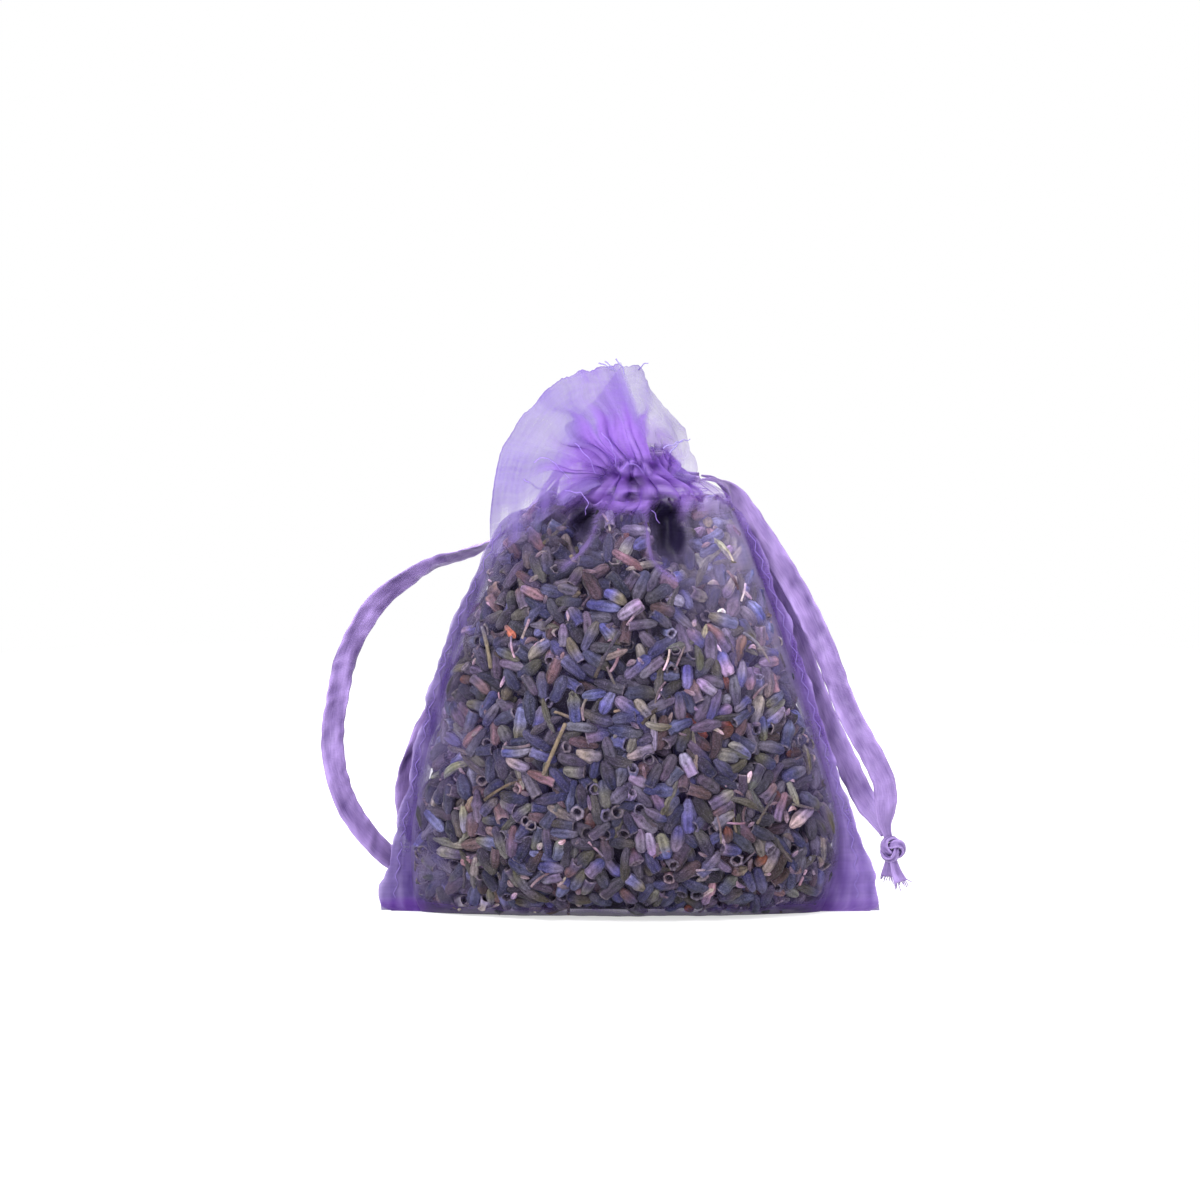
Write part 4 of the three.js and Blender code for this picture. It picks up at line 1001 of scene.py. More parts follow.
def ruffle_sheet(columns, seed, gathers, fullness):
    """A fan of cloth from the neck to its edge, gathered at its foot and folded towards its edge."""
    table = np.array(columns, float)
    v, u = np.meshgrid(np.linspace(0, 1, RUFFLE_ROWS), np.linspace(0, 1, RUFFLE_COLUMNS), indexing="ij")
    edge = u[..., None] * RUFFLE_SPAN
    place = np.stack([u * RUFFLE_SPAN, v * RUFFLE_RISE], axis=-1)
    window = np.sin(math.pi * u) ** 0.5
    loose = (1 - v) ** 2.2
    phase = TURN * gathers * (u + 0.05 * np.sin(TURN * 1.7 * u + seed) + 0.022 * np.sin(TURN * 4.3 * u))
    phase = phase + 2.4 * (v - 0.3) * np.sin(TURN * 1.3 * u + seed)
    strength = np.clip(0.75 + 0.55 * waves(seed + 20, edge, 8), 0.1, 1.5)
    wander = 0.035 * waves(seed + 40, np.stack([u * 40, v * 22], -1), 9) * smooth_step(1, 0.5, v)
    doubled = 1.5 * fullness * loose * np.sin(phase) / (TURN * gathers)
    moved = np.clip(u + window * (wander + doubled), 0, 1)
    stations = np.linspace(0, 1, len(columns))
    grid = through_rails([smooth_at(stations, table[:, k], moved) for k in range(4)], v[..., None])
    normal = unit(np.cross(np.gradient(grid, axis=1), np.gradient(grid, axis=0)))
    small = 0.36 * fullness * strength * loose * np.cos(phase) * window
    strips = 0.22 * (1 - v) * waves(seed + 8, np.stack([u * RUFFLE_SPAN, v * 3], -1), 4.5) * window
    large = v * (0.35 * np.sin(TURN * 2.6 * u + seed) + 0.45 * waves(seed + 1, place, 19))
    crumple = 0.08 * waves(seed + 2, place, 4.2) + 0.03 * waves(seed + 3, place, 1.7)
    grid = grid + normal * (small + strips + large + crumple)[..., None]
    grid[..., 2] += (0.16 * waves(seed + 4, edge, 6) + 0.06 * waves(seed + 9, edge, 1.6)) * v ** 6
    return grid, u, v, np.cos(phase) * loose * strength


def add_ruffle(name, node, columns, seed, gathers, fullness, vivid, material, density_at):
    """A ruffle's front or back, denser and more vivid at its gathered root."""
    grid, u, v, ridge = ruffle_sheet(columns, seed, gathers, fullness)
    place = np.stack([u * RUFFLE_SPAN, v * RUFFLE_RISE], -1)
    root = 1 - smooth_step(0.2, 0.62, v + 0.08 * waves(seed + 33, place[..., :1], 7))
    hem = bump(v, 1, 0.012)
    torn = 0.03 * waves(seed + 44, place[..., 1:], 3)
    sides = smooth_step(-0.02, 0.15, u + torn) * smooth_step(1, 0.97, u)
    streaks = waves(seed + 7, np.stack([u * RUFFLE_SPAN, v * 4], -1), 3) * (1 - v)
    # Tone with painted highlight: the gathers' crests are paler.
    crest = 0.5 + 0.16 * ridge + 0.16 * waves(seed + 5, place, 8) + 0.12 * streaks - 0.1 * hem
    density = density_at(u) + 0.3 * vivid * root + 0.05 * np.abs(ridge)
    density = density + 0.1 * waves(seed + 30, place, 12) + 0.25 * hem
    density = density * (1 - 0.68 * (1 - sides) * smooth_step(0.05, 0.4, v))
    density = np.clip(density * (0.15 + 0.85 * smooth_step(0, 0.12, v)), 0, 0.97)
    gathered = root * (0.25 + 0.75 * smooth_step(0.02, 0.25, u)) + 0.6 * bump(u, 0.82, 0.16) * (1 - 0.6 * v)
    numbers = sheet_numbers(
        grid, density, np.clip(crest, 0, 1), gathered=np.clip(vivid * gathered, 0, 1), start=RUFFLE_START)
    piece = grid_piece(name, grid, numbers)
    finish_piece(piece, material, nodes=[node])


def add_inner_fold(material):
    """A doubled fold of cloth that stands between the front and the back of the ruffle."""
    outline = np.array([
        (-1.9, -4.4, 63.2), (-3.4, -4.9, 65.6), (-4.8, -5, 67.4), (-6.8, -4.8, 69.3),
        (-8.8, -4.4, 68.7), (-7.6, -3.8, 65), (-6.2, -3.4, 61.8),
    ])
    along = along_of(outline)
    line = smooth_at(along, outline, np.linspace(0, along[-1], 90))
    root = np.array([-3.4, -3.4, 62.4])
    w = np.linspace(0, 1, 24)[:, None, None]
    layers = []
    for seed, depth in ((83, 0), (84, 1.3)):
        sheet = root + (line[None] - root) * w + np.array([0, depth, 0]) * np.sin(math.pi * w) ** 0.6
        sheet[..., 1] += 0.22 * waves(seed, sheet[..., ::2], 2.6) * np.sin(math.pi * w[..., 0])
        layers.append(sheet)
    grid = np.concatenate([layers[0], layers[1][::-1][1:]])
    up = np.concatenate([w, w[::-1][1:]])[..., 0]
    density = 0.3 + 0.5 * (1 - smooth_step(0.6, 1, up))
    crest = np.clip(0.12 + 0.2 * waves(87, grid[..., ::2], 1.6), 0, 0.4)
    piece = grid_piece("ruffle_inner_fold", grid, sheet_numbers(grid, density, crest, width=12))
    finish_piece(piece, material)


def add_lining(material):
    """The bunched inner layer, drawn together into fine pleats, with a waist between the ribbons' turns."""
    angle = TURN * np.arange(240) / 240
    z = np.linspace(LINING_LOW[2] - 2, LINING_HIGH[2], 40)
    half = LINING_SHARE * (LINING_HIGH - LINING_LOW)[:2] / 2
    z, angle = np.meshgrid(z, angle, indexing="ij")
    pleat = 1 + 0.09 * np.cos(15 * angle + 1.2 * np.sin(z * 0.7)) + 0.04 * np.cos(31 * angle + z)
    reach = pleat * (LINING_WAIST + (1 - LINING_WAIST) * smooth_step(*WAIST_TOP, z))
    x = neck_at(z)[2] + half[0] * reach * np.cos(angle)
    y = half[1] * reach * np.sin(angle)
    # The pleats' crests are paler: painted highlight.
    numbers = {
        "cloth_u": angle * 6, "cloth_v": z, "solid": 0.9 - 0.9 * smooth_step(62.4, 64, z),
        "crest": np.clip(pleat * 3.6 - 3.5, 0, 0.5), "hollow": 0 * x, "gathered": 1 + 0 * x,
    }
    piece = tube_piece("drawn_lining", np.stack([x, y, z], axis=-1), numbers)
    finish_piece(piece, material, nodes=["gathered_lining"])


def add_channel_stitches(material, sheets):
    """Two stitch lines, over and under the ribbons, on each face of the channel."""
    lower, upper = RIGHT_RIBBON_Z - STITCH_FROM_RIBBON, LEFT_RIBBON_Z + STITCH_FROM_RIBBON
    around = math.pi * np.linspace(0.04, 0.96, 40)
    half_length, half_depth, middle = neck_at(upper)
    for side, where in ((FRONT, "front"), (BACK, "back")):
        grid = sheets[side]
        row = int(np.argmin(np.abs(grid[:, 0, 2] - lower)))
        x = middle - (half_length - 1.2) * np.cos(around)
        y = side * (half_depth - 1.2) * np.sin(around)
        z = upper - 0.5 + 0.15 * waves(77 + side, around[:, None], 0.8)
        lines = {"lower": grid[row] * np.array([0.86, 0.86, 1]), "upper": np.stack([x, y, z], axis=-1)}
        for level, line in lines.items():
            length = along_of(line)
            fine = smooth_at(length, line, np.linspace(0.5, length[-1] - 0.5, 400))
            stitch = np.abs(np.sin(math.pi * np.linspace(0, length[-1], 400) / STITCH_PITCH))
            rings = round_rings(fine, 0.02 + 0.04 * stitch ** 0.5, 5)
            piece = tube_piece(f"{where}_{level}_stitches", rings)
            finish_piece(piece, material, nodes=[f"{where}_{level}_thread"])


def add_loose_threads(material, pale_material):
    """Frayed ends at the ruffle's edge, loose threads at its right and pale fibres over the gathers."""
    frays = [
        [(-4.2, -6.6, 77.3), (-3.2, -6.7, 77), (-1.9, -6.7, 76.2)],
        [(-1.9, -6.5, 77.9), (-1.3, -6.6, 77), (-0.7, -6.7, 75.6)],
        [(-3.4, -6.7, 77.5), (-2.8, -6.8, 77.1), (-2.2, -6.8, 76.6)],
        [(5.4, -4.6, 64.6), (6.4, -4.3, 65.7), (7.2, -3.4, 66.3), (8.4, -2.4, 66.4)],
        [(4.6, -4.9, 65.4), (6, -4.5, 66), (7.4, -3.4, 66.2)],
        [(1.2, 4.9, 75.4), (1.9, 4.9, 76.2), (2.7, 4.7, 76.4)],
    ]
    wisps = [
        [(-4.9, -6.9, 68.8), (-3.3, -7.2, 67.2), (-2.2, -6.9, 65.1), (-2, -6, 63)],
        [(-1.3, -4.9, 62.2), (-0.4, -5.3, 63.2), (0.9, -5.3, 63.1), (1.9, -4.9, 62)],
        [(-13.2, -8, 63.9), (-11.6, -7.8, 64.4), (-9.9, -7.3, 63.1), (-8.3, -6.6, 61.4)],
        [(-14.5, -7.4, 61.4), (-12.4, -7, 60.1), (-9.9, -6.4, 59.3)],
        [(-8.7, -6.9, 59.7), (-6.6, -6.9, 59.3), (-5.8, -7.2, 58), (-6.2, -7.6, 56.4)],
        [(2.1, -6.2, 57.9), (3.2, -6.4, 56.7), (4.2, -6.4, 55.2)],
        [(-7.6, -7.2, 66.4), (-6.4, -7.4, 65.2), (-5.2, -7, 63.4), (-4.6, -6.2, 62)],
    ]
    groups = [("ruffle_frays", frays, material, 0.1), ("gathered_wisps", wisps, pale_material, 0.06)]
    for name, lines, cloth, thick in groups:
        tubes = []
        for line in lines:
            line = np.array(line, float)
            length = along_of(line)
            fine = smooth_at(length, line, np.linspace(0, length[-1], 24))
            fine += 0.12 * np.stack([waves(91 + k, fine, 1.4) for k in range(3)], axis=-1)
            tubes.append(round_rings(fine, np.linspace(thick, 0.6 * thick, 24), 6))
        finish_piece(joined_tubes(name, tubes), cloth)


# Ribbons


def route_line(route, step=RIBBON_STEP):
    """Evenly spaced points and width directions along a route."""
    route = np.array(route, float)
    length = along_of(route[:, :3])
    fine = smooth_at(length, route, np.linspace(0, length[-1], 600))
    true = along_of(fine[:, :3])
    count = max(int(true[-1] / step), 12)
    at = np.linspace(0, true[-1], count)
    return np.stack([np.interp(at, true, fine[:, k]) for k in range(6)], axis=1), true[-1]


def ribbon_rings(line, half, seed, crease=1.0, wall=RIBBON_WALL, columns=15):
    """Closed rings of a crumpled flat ribbon, with the numbers for its cloth."""
    _, across, face = frames_along(line[:, :3], line[:, 3:])
    at = along_of(line[:, :3])
    w = np.linspace(-1, 1, columns)
    a, ww = np.meshgrid(at, w, indexing="ij")
    place = np.stack([a, ww * RIBBON_WIDTH / 2], axis=-1)
    slant = np.stack([a + 0.9 * ww, 0.35 * ww * RIBBON_WIDTH], axis=-1)
    curl = 0.3 * waves(seed, a[..., None], 14) * (ww ** 2 - 0.35)
    folds = 0.07 * waves(seed + 1, slant, 2.3) + 0.16 * waves(seed + 2, place * np.array([0.35, 1]), 2.6)
    sharp = 0.1 * (1 - np.abs(waves(seed + 3, slant * np.array([0.5, 1]), 2.2))) - 0.04
    height = crease * (curl + folds + sharp) * np.clip(half / 1.3, 0.2, 1)[:, None]
    uneven = np.stack([waves(seed + k, at[:, None], 3) for k in (4, 5)], axis=1)
    edge = half[:, None] * (1 + 0.035 * crease * uneven[:, (w > 0).astype(int)])
    base = line[:, None, :3] + across[:, None] * (edge * ww)[..., None] + face[:, None] * height[..., None]
    lift = face[:, None] * wall / 2
    rolled = np.sqrt(np.clip(1 - np.abs(ww) ** 6, 0.05, 1))[..., None]
    rings = np.concatenate([base + lift * rolled, (base - lift * rolled)[:, ::-1]], axis=1)
    u = np.concatenate([ww, ww[:, ::-1]], axis=1) * RIBBON_WIDTH / 2
    both = np.concatenate([height, height[:, ::-1]], axis=1)
    # Painted highlight: the raised creases are paler; the edges are paler too.
    paler_edge = bump(np.abs(u), RIBBON_WIDTH / 2, 0.35)
    crest = np.clip(0.35 + 0.9 * both + 0.35 * paler_edge, 0, 1)
    return rings, {"cloth_u": u, "cloth_v": np.concatenate([a, a], axis=1), "crest": crest}


def strand_half(at):
    """Half the width of a strand, pinched where it leaves the neck and a little into the knot."""
    open_share = np.clip(at / PINCH_LENGTH, 0, 1)
    half = (PINCHED_WIDTH + (RIBBON_WIDTH - PINCHED_WIDTH) * np.sin(open_share * math.pi / 2)) / 2
    closing = smooth_step(0, 5, at[-1] - at)
    return half * (0.4 + 0.6 * closing) * (0.3 + 0.7 * smooth_step(3.5, 10.5, at))


def add_strand(name, node, route, seed, material, body):
    """A free strand of ribbon, with its line and its length in metres."""
    line, length = route_line(route)
    piece = tube_piece(name, *ribbon_rings(line, strand_half(along_of(line[:, :3])), seed))
    finish_piece(piece, material, body, [node])
    return piece, line[:, :3] * MM, length * MM


def add_tail(name, node, route, seed, material, body):
    """A cut ribbon end, widening and frayed."""
    line, _ = route_line(route, 0.22)
    line = line[:int(TAIL_SHARE * len(line))]
    at = along_of(line[:, :3])
    half = TAIL_WIDTH / 2 * (0.5 + 0.5 * smooth_step(0, at[-1], at))
    rings, numbers = ribbon_rings(line, half, seed, 0.8, 0.24, 11)
    points, faces, uv = closed_tube(rings)
    parts = [(points, faces, [x * 0.8 for x in uv])]
    rng = np.random.default_rng(seed)
    along, across, face = (ways[-1] for ways in frames_along(line[:, :3], line[:, 3:]))
    t = np.linspace(0, 1, 7)[:, None]
    for k, w in enumerate(np.linspace(-0.9, 0.9, FRAY_COUNT) * half[-1]):
        root = line[-1, :3] + across * w - along * 0.3
        reach = rng.uniform(0.5, 1.5)
        aim = along * reach + across * w * 0.35 + face * rng.uniform(-0.3, 0.3)
        thread = root + aim * t + across * rng.uniform(-0.3, 0.3) * t ** 2
        thread[:, 2] = np.maximum(thread[:, 2], 0.15)
        points, faces, uv = closed_tube(round_rings(thread, 0.07, 5))
        corner = np.array([0, 0.82 + 0.016 * k])
        parts.append((points, faces, [x * np.array([0.8, 0.015]) + corner for x in uv]))
    points, faces, uv = joined(parts)
    threads = np.full(len(points) - len(parts[0][0]), 0.5)
    numbers = {key: np.concatenate([x, threads]) for key, x in with_ends(numbers).items()}
    return finish_piece(mesh_piece(name, points, faces, uv, numbers), material, body, [node])


def add_knot(name, node, material, body):
    """An overhand knot: the ribbon, bunched, wound through itself."""
    centre = sum(box_mm(node)) / 2
    u = np.linspace(0, 2 * TURN, 260, endpoint=False)
    turns = 3 / 2 * u
    ring = KNOT_RADIUS * (2 + np.cos(turns)) / 2
    line = np.stack([ring * np.cos(u), -KNOT_RADIUS * np.sin(turns) / 2, ring * np.sin(u)], axis=1) * 0.92
    along = unit(np.roll(line, -1, axis=0) - np.roll(line, 1, axis=0))
    out = unit(line - along * (line * along).sum(1)[:, None])
    third = np.cross(along, out)
    u, angle = u[:, None], TURN * np.arange(KNOT_SIDES)[None] / KNOT_SIDES
    creases = 1 + 0.13 * np.cos(4 * angle + 0.8 * np.sin(2 * u)) + 0.07 * np.cos(9 * angle)
    place = np.stack([u * 1.5 + 0 * angle, angle + 0 * u], axis=-1)
    creases = creases + 0.08 * waves(97, place, 1.1)
    wide = third[:, None] * (KNOT_BUNCHED * creases * np.cos(angle))[..., None]
    thick = out[:, None] * (KNOT_THIN * creases * np.sin(angle))[..., None]
    rings = line[:, None] + (wide + thick) + centre
    rings[..., 2] = np.maximum(rings[..., 2], 0.1)
    faces, uv = grid_faces(len(rings) + 1, KNOT_SIDES, True)
    faces = faces % (len(rings) * KNOT_SIDES)
    # Painted highlight: the ridges of the bunched creases are paler.
    numbers = {
        "cloth_u": angle + 0 * u, "cloth_v": u * 1.6 + 0 * angle, "crest": np.clip(creases * 2 - 1.6, 0, 1),
    }
    piece = mesh_piece(name, rings.reshape(-1, 3), [faces], [uv], numbers)
    return finish_piece(piece, material, body, [node])


def add_ribbon_turn(name, node, hand, material, body):
    """The ribbon inside the channel: two legs and the bend that joins them, bunched within the neck."""
    low, high = box_mm(node)
    start_gap = (high[1] - low[1] - RIBBON_WALL) / 2
    height = (low[2] + high[2]) / 2
    half_length, _, middle = neck_at(height)
    end = (high[0] if hand > 0 else low[0]) + hand * TURN_PAST_FRAME
    inner, gap = middle + hand * (half_length - 1), TURN_HALF_GAP
    far = middle - hand * (half_length - 0.5 - gap)
    upright = (height, 0, 0, 1)
    angle = np.linspace(0, math.pi, 14)
    bend = [(far - hand * gap * math.sin(a), -gap * math.cos(a), *upright) for a in angle]
    legs = [[(end, side * start_gap, *upright), (inner, side * gap, *upright)] for side in (-1, 1)]
    line, _ = route_line([*legs[0], *bend, *legs[1][::-1]])
    at = along_of(line[:, :3])
    opened = smooth_step(0, 4, np.minimum(at, at[-1] - at))
    half = PINCHED_WIDTH / 2 + (GATHERED_RIBBON * 0.4 - PINCHED_WIDTH / 2) * opened
    rings, numbers = ribbon_rings(line, half, 101 + hand, 0.35, RIBBON_WALL, 11)
    finish_piece(tube_piece(name, rings, numbers), material, body, [node])


def add_drawstring(hand, name, routes, tails, material):
    """One ribbon: its knot, its two tails, its two free strands and its turn in the channel."""
    body = f"{name}_loop"
    knot = add_knot(f"{name}_overhand_knot", f"{name}_knot", material, body)
    seed = 110 if hand < 0 else 140
    ends = [
        add_tail(f"{name}_{place}_frayed_tail", f"{name}_{place}_tail", route, seed + 5 * k, material, body)
        for k, (place, route) in enumerate(zip(("front", "back"), tails))
    ]
    for k, (place, route) in enumerate(zip(("front", "back"), routes)):
        strand, line, length = add_strand(
            f"{name}_{place}_ribbon", f"{name}_{place}_strand", route, seed + 11 + 7 * k, material, body)
    add_ribbon_turn(f"{name}_gathered_ribbon", f"{name}_ribbon_turn", hand, material, f"{name}_drawstring")


# The lavender

GRAIN_SIDES = 12
# Forms of grain: where its rings are along it, and how wide they are
RING_SHARES = {
    "closed": ([0, 0.03, 0.09, 0.18, 0.3, 0.44, 0.6, 0.75, 0.87, 0.94, 0.98, 1],
               [0.2, 0.42, 0.62, 0.8, 0.93, 1, 1, 0.94, 0.82, 0.64, 0.42, 0.18]),
    "open": ([0, 0.03, 0.09, 0.2, 0.34, 0.5, 0.66, 0.8, 0.93, 1, 0.96, 0.66],
             [0.2, 0.44, 0.64, 0.82, 0.92, 0.96, 0.96, 0.94, 0.97, 0.92, 0.7, 0.52]),
    "rod": ([0, 0.01, 0.1, 0.2, 0.32, 0.44, 0.56, 0.68, 0.8, 0.9, 0.99, 1],
            [0.6, 0.95, 1, 0.96, 0.94, 1.05, 0.97, 0.93, 0.95, 1, 0.95, 0.6]),
    "leaf": ([0, 0.03, 0.1, 0.2, 0.34, 0.48, 0.62, 0.74, 0.85, 0.93, 0.98, 1],
             [0.18, 0.3, 0.55, 0.8, 0.96, 1, 0.95, 0.84, 0.66, 0.45, 0.26, 0.1]),
}
# Colours, and pairs of them from a grain's base to its tip
SLATE, INDIGO, GREY = (104, 108, 142), (78, 80, 132), (132, 128, 142)
OLIVE, SAGE, CREAM = (116, 114, 88), (136, 138, 120), (176, 168, 150)
ROSE, BROWN, MAUVE = (148, 118, 120), (118, 90, 84), (134, 118, 144)
RUST, STRAW, BLUSH = (170, 98, 68), (156, 144, 112), (196, 172, 178)
NAVY, DUSK = (58, 60, 106), (88, 80, 104)
BUD_TONES = [
    (OLIVE, SLATE), (SAGE, SLATE), (GREY, INDIGO), (SLATE, INDIGO), (NAVY, SLATE), (DUSK, GREY),
    (ROSE, MAUVE), (BROWN, ROSE), (GREY, MAUVE), (CREAM, GREY), (SLATE, NAVY), (OLIVE, INDIGO),
    (BROWN, DUSK), (INDIGO, MAUVE), (SAGE, DUSK), (GREY, SLATE), (DUSK, NAVY), (MAUVE, GREY),
]
LEAF_TONES = [(OLIVE, SAGE), (SAGE, CREAM), (OLIVE, GREY)]
SCALE_TONES = [(RUST, ROSE), (RUST, BROWN), (BROWN, STRAW)]
PETAL_TONES = [(BLUSH, ROSE), (MAUVE, BLUSH), (CREAM, BLUSH)]
STALK_TONES = [(BLUSH, CREAM), (GREY, BLUSH), (ROSE, BLUSH)]
STEM_TONES = [(STRAW, STRAW), (OLIVE, STRAW), (GREY, STRAW)]
# Kinds of grain: share of all, form, length, radius, flatness, bend and colour pairs
GRAIN_KINDS = [
    (0.42, "closed", (3.4, 5), (0.74, 1), (0.85, 1), 0.1, BUD_TONES),
    (0.3, "open", (2.8, 4.4), (0.74, 0.98), (0.9, 1), 0.06, BUD_TONES),
    (0.07, "leaf", (4, 5.8), (0.45, 0.66), (0.6, 0.9), 0.16, LEAF_TONES),
    (0.03, "leaf", (2, 3.2), (0.55, 0.8), (0.3, 0.45), 0.12, SCALE_TONES),
    (0.12, "leaf", (1.1, 2.2), (0.22, 0.4), (0.4, 0.8), 0.3, PETAL_TONES),
    (0.045, "rod", (2.4, 4.6), (0.14, 0.22), (0.8, 1), 0.2, STALK_TONES),
    (0.015, "rod", (5, 8), (0.2, 0.3), (0.8, 1), 0.12, STEM_TONES),
]
FRAME_FORMS = {"bud": "closed", "stem": "rod", "leaf_bit": "leaf"}
# Layers of buds: how deep under the cloth, and how many on each face
LAYERS = [(0.9, 900), (2.3, 640)]
BRIGHTNESS = 0.37
RIGHT_LIT = 1.5
END_SHARE = 0.16
GRAIN_FLOOR = 0.7
GRAIN_TOP = 57.6
UPRIGHT_SHARE = 0.25
PAIR_REACH = 2.2
SETTLE_STEPS = 60
GRAIN_PIECES = 6
UV_MARGIN = 0.06
HEAP_SIDE_ROOM = 2.3
HEAP_FACE_ROOM = 2.9


def frame_grains():
    """The name, form, ends and radius of each bud, stem and leaf bit of the frame."""
    grains = []
    for name, node in sorted(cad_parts.items()):
        kind = name.rsplit("_", 1)[0]
        if kind not in FRAME_FORMS:
            continue
        points = np.array([v.co for v in node.data.vertices], float) / MM
        centre = (points.max(0) + points.min(0)) / 2
        _, _, axes = np.linalg.svd(points - points.mean(0), full_matrices=False)
        reach = (points - centre) @ axes[0]
        side = (points - centre) @ axes[1]
        middle = centre + axes[0] * (reach.max() + reach.min()) / 2
        half = axes[0] * (reach.max() - reach.min()) / 2
        grains.append((name, FRAME_FORMS[kind], middle - half, middle + half, side.max()))
    return grains


def grain_places(rng):
    """First places of the buds: centres just under the cloth, with random directions along it."""
    centres, ways, sides, depths = [], [], [], []
    nudge = 0.3
    for depth, count in LAYERS:
        for side in (FRONT, BACK):
            kept = 0
            while kept < count:
                share = rng.uniform(0.02, 0.98)
                z = np.array(rng.uniform(1.2, 58))
                fill, lean, _ = fill_at(np.array(-math.cos(math.pi * share) * 30), z)
                x = np.array(lean - fill * math.cos(math.pi * share))
                y = cloth_depth(x, z, side)
                right = cloth_depth(x + nudge, z, side)
                above = cloth_depth(x, z + nudge, side)
                out = unit(np.array([(y - right) / nudge, 1.0, (y - above) / nudge]))
                area = fill * math.sin(math.pi * share) / max(out[1], 0.25)
                if rng.uniform(0, HALF_WIDTH) > area or fold_depth(x, z, side) > 1.8:
                    continue
                kept += 1
                centre = np.array([x, y, z]) - out * depth
                angle, tilt = rng.uniform(0, TURN), rng.normal(0, 0.45)
                centre = centre - np.array([0, rng.uniform(0, 0.5), 0])
                centres.append((centre[0], side * max(centre[1], 0), centre[2]))
                way = np.array([math.cos(angle), tilt, math.sin(angle)])
                way = way - out * (way @ out) * 0.55
                ways.append((way[0], side * way[1], way[2]))
                sides.append(side)
                depths.append(depth)
    return np.array(centres), unit(np.array(ways)), np.array(sides), np.array(depths)


def near_pairs(points, owner, reach):
    """Pairs of points that lie within reach of each other and have different owners."""
    tree = KDTree(len(points))
    for i, p in enumerate(points):
        tree.insert(p, i)
    tree.balance()
    pairs = [(i, j) for i, p in enumerate(points) for _, j, _ in tree.find_range(p, reach)
             if j > i and owner[i] != owner[j]]
    return np.array(pairs, int).reshape(-1, 2)


def held_inside(points, radius, sides):
    """Points moved back under the cloth, above the base and below the neck."""
    z = np.clip(points[..., 2], GRAIN_FLOOR + radius, GRAIN_TOP)
    fill, lean, _ = fill_at(points[..., 0], z)
    ragged = 0.7 * np.clip(waves(151, z[..., None] + 60 * (points[..., :1] > 0), 6) + 0.4, 0, 1.6)
    room = np.maximum(fill - 1.05 * radius - 0.3 - ragged, 0.5)
    x = lean + np.clip(points[..., 0] - lean, -room, room)
    nudge = 0.2
    front = sides < 0
    depth = own_depth(x, z, front)
    slope_x = (own_depth(x + nudge, z, front) - depth) / nudge
    slope_z = (own_depth(x, z + nudge, front) - depth) / nudge
    slope = np.clip(1 + slope_x ** 2 + slope_z ** 2, 1, 9)
    limit = np.maximum(depth - radius * np.sqrt(slope) + 0.12 - 1.3 * smooth_step(53, 57, z), 0)
    pocket = np.where(front, hollow_at(x, z, FRONT), 0)
    limit = limit - 2.2 * smooth_step(0.1, 0.8, pocket)
    out = np.minimum(points[..., 1] * sides, limit)
    return np.stack([x, sides * np.maximum(out, -2), z], axis=-1)


def both_ends(middle, way, lengths):
    """The two ends of grains from their middles, directions and lengths."""
    return np.stack([middle - way * lengths[:, None] / 2, middle + way * lengths[:, None] / 2], axis=1)


def settle(ends, radii, lengths, sides, depths, moving, steps):
    """Pushes overlapping grains apart and holds them under the cloth."""
    shares = np.array([END_SHARE, 0.5, 1 - END_SHARE])
    thin = np.array([0.76, 0.96, 0.76])
    owner = np.repeat(np.arange(len(ends)), 3)
    reach = (radii[:, None] * thin).ravel()
    weights = np.tile(np.stack([1 - shares, shares], axis=1), (len(ends), 1))
    weights = weights / (weights ** 2).sum(1)[:, None]
    free = np.where(moving, 1.0, 0.0)[:, None, None]
    for step in range(steps):
        centres = ends[:, :1] * (1 - shares)[None, :, None] + ends[:, 1:] * shares[None, :, None]
        centres = centres.reshape(-1, 3)
        if step % 6 == 0:
            pairs = near_pairs(centres, owner, PAIR_REACH)
        i, j = pairs[:, 0], pairs[:, 1]
        gap = centres[i] - centres[j]
        away = np.maximum(np.linalg.norm(gap, axis=1), 1e-4)
        over = np.maximum(reach[i] + reach[j] - away, 0)
        push = gap / away[:, None] * (over * 0.32)[:, None]
        shift = np.zeros_like(centres)
        np.add.at(shift, i, push)
        np.add.at(shift, j, -push)
        held = held_inside(centres + shift, reach, np.repeat(sides, 3))
        shift = held - centres
        shift[:, 1] += np.repeat(sides, 3) * np.where(np.repeat(depths, 3) < 2, 0.05, 0.02)
        moves = (shift[:, None] * weights[:, :, None]).reshape(-1, 3, 2, 3).mean(1) * 1.3
        ends = ends + moves * free
        middle, way = ends.mean(1), unit(ends[:, 1] - ends[:, 0])
        ends = both_ends(middle, way, lengths)
    return ends


def choose_grains(rng, count):
    """The kind, size and colours of each grain."""
    shares = np.array([kind[0] for kind in GRAIN_KINDS])
    kinds = rng.choice(len(GRAIN_KINDS), count, p=shares / shares.sum())
    length, radius, flat, bend = (np.zeros(count) for _ in range(4))
    base, tip = np.zeros((count, 3)), np.zeros((count, 3))
    for i, k in enumerate(kinds):
        _, _, lengths, radii, flats, bends, tones = GRAIN_KINDS[k]
        length[i], radius[i], flat[i] = rng.uniform(*lengths), rng.uniform(*radii), rng.uniform(*flats)
        bend[i] = rng.normal(0, bends)
        first, second = tones[rng.integers(len(tones))]
        bright = BRIGHTNESS * np.clip(math.exp(rng.normal(0, 0.58)), 0.25, 3)
        jitter = rng.normal(1, 0.04, 3) * np.array([1, 0.88, 1.08])
        base[i] = np.array(linear(*first)[:3]) * bright * jitter
        tip[i] = np.array(linear(*second)[:3]) * bright * jitter
    return [GRAIN_KINDS[k][1] for k in kinds], length, radius, flat, bend, base, tip


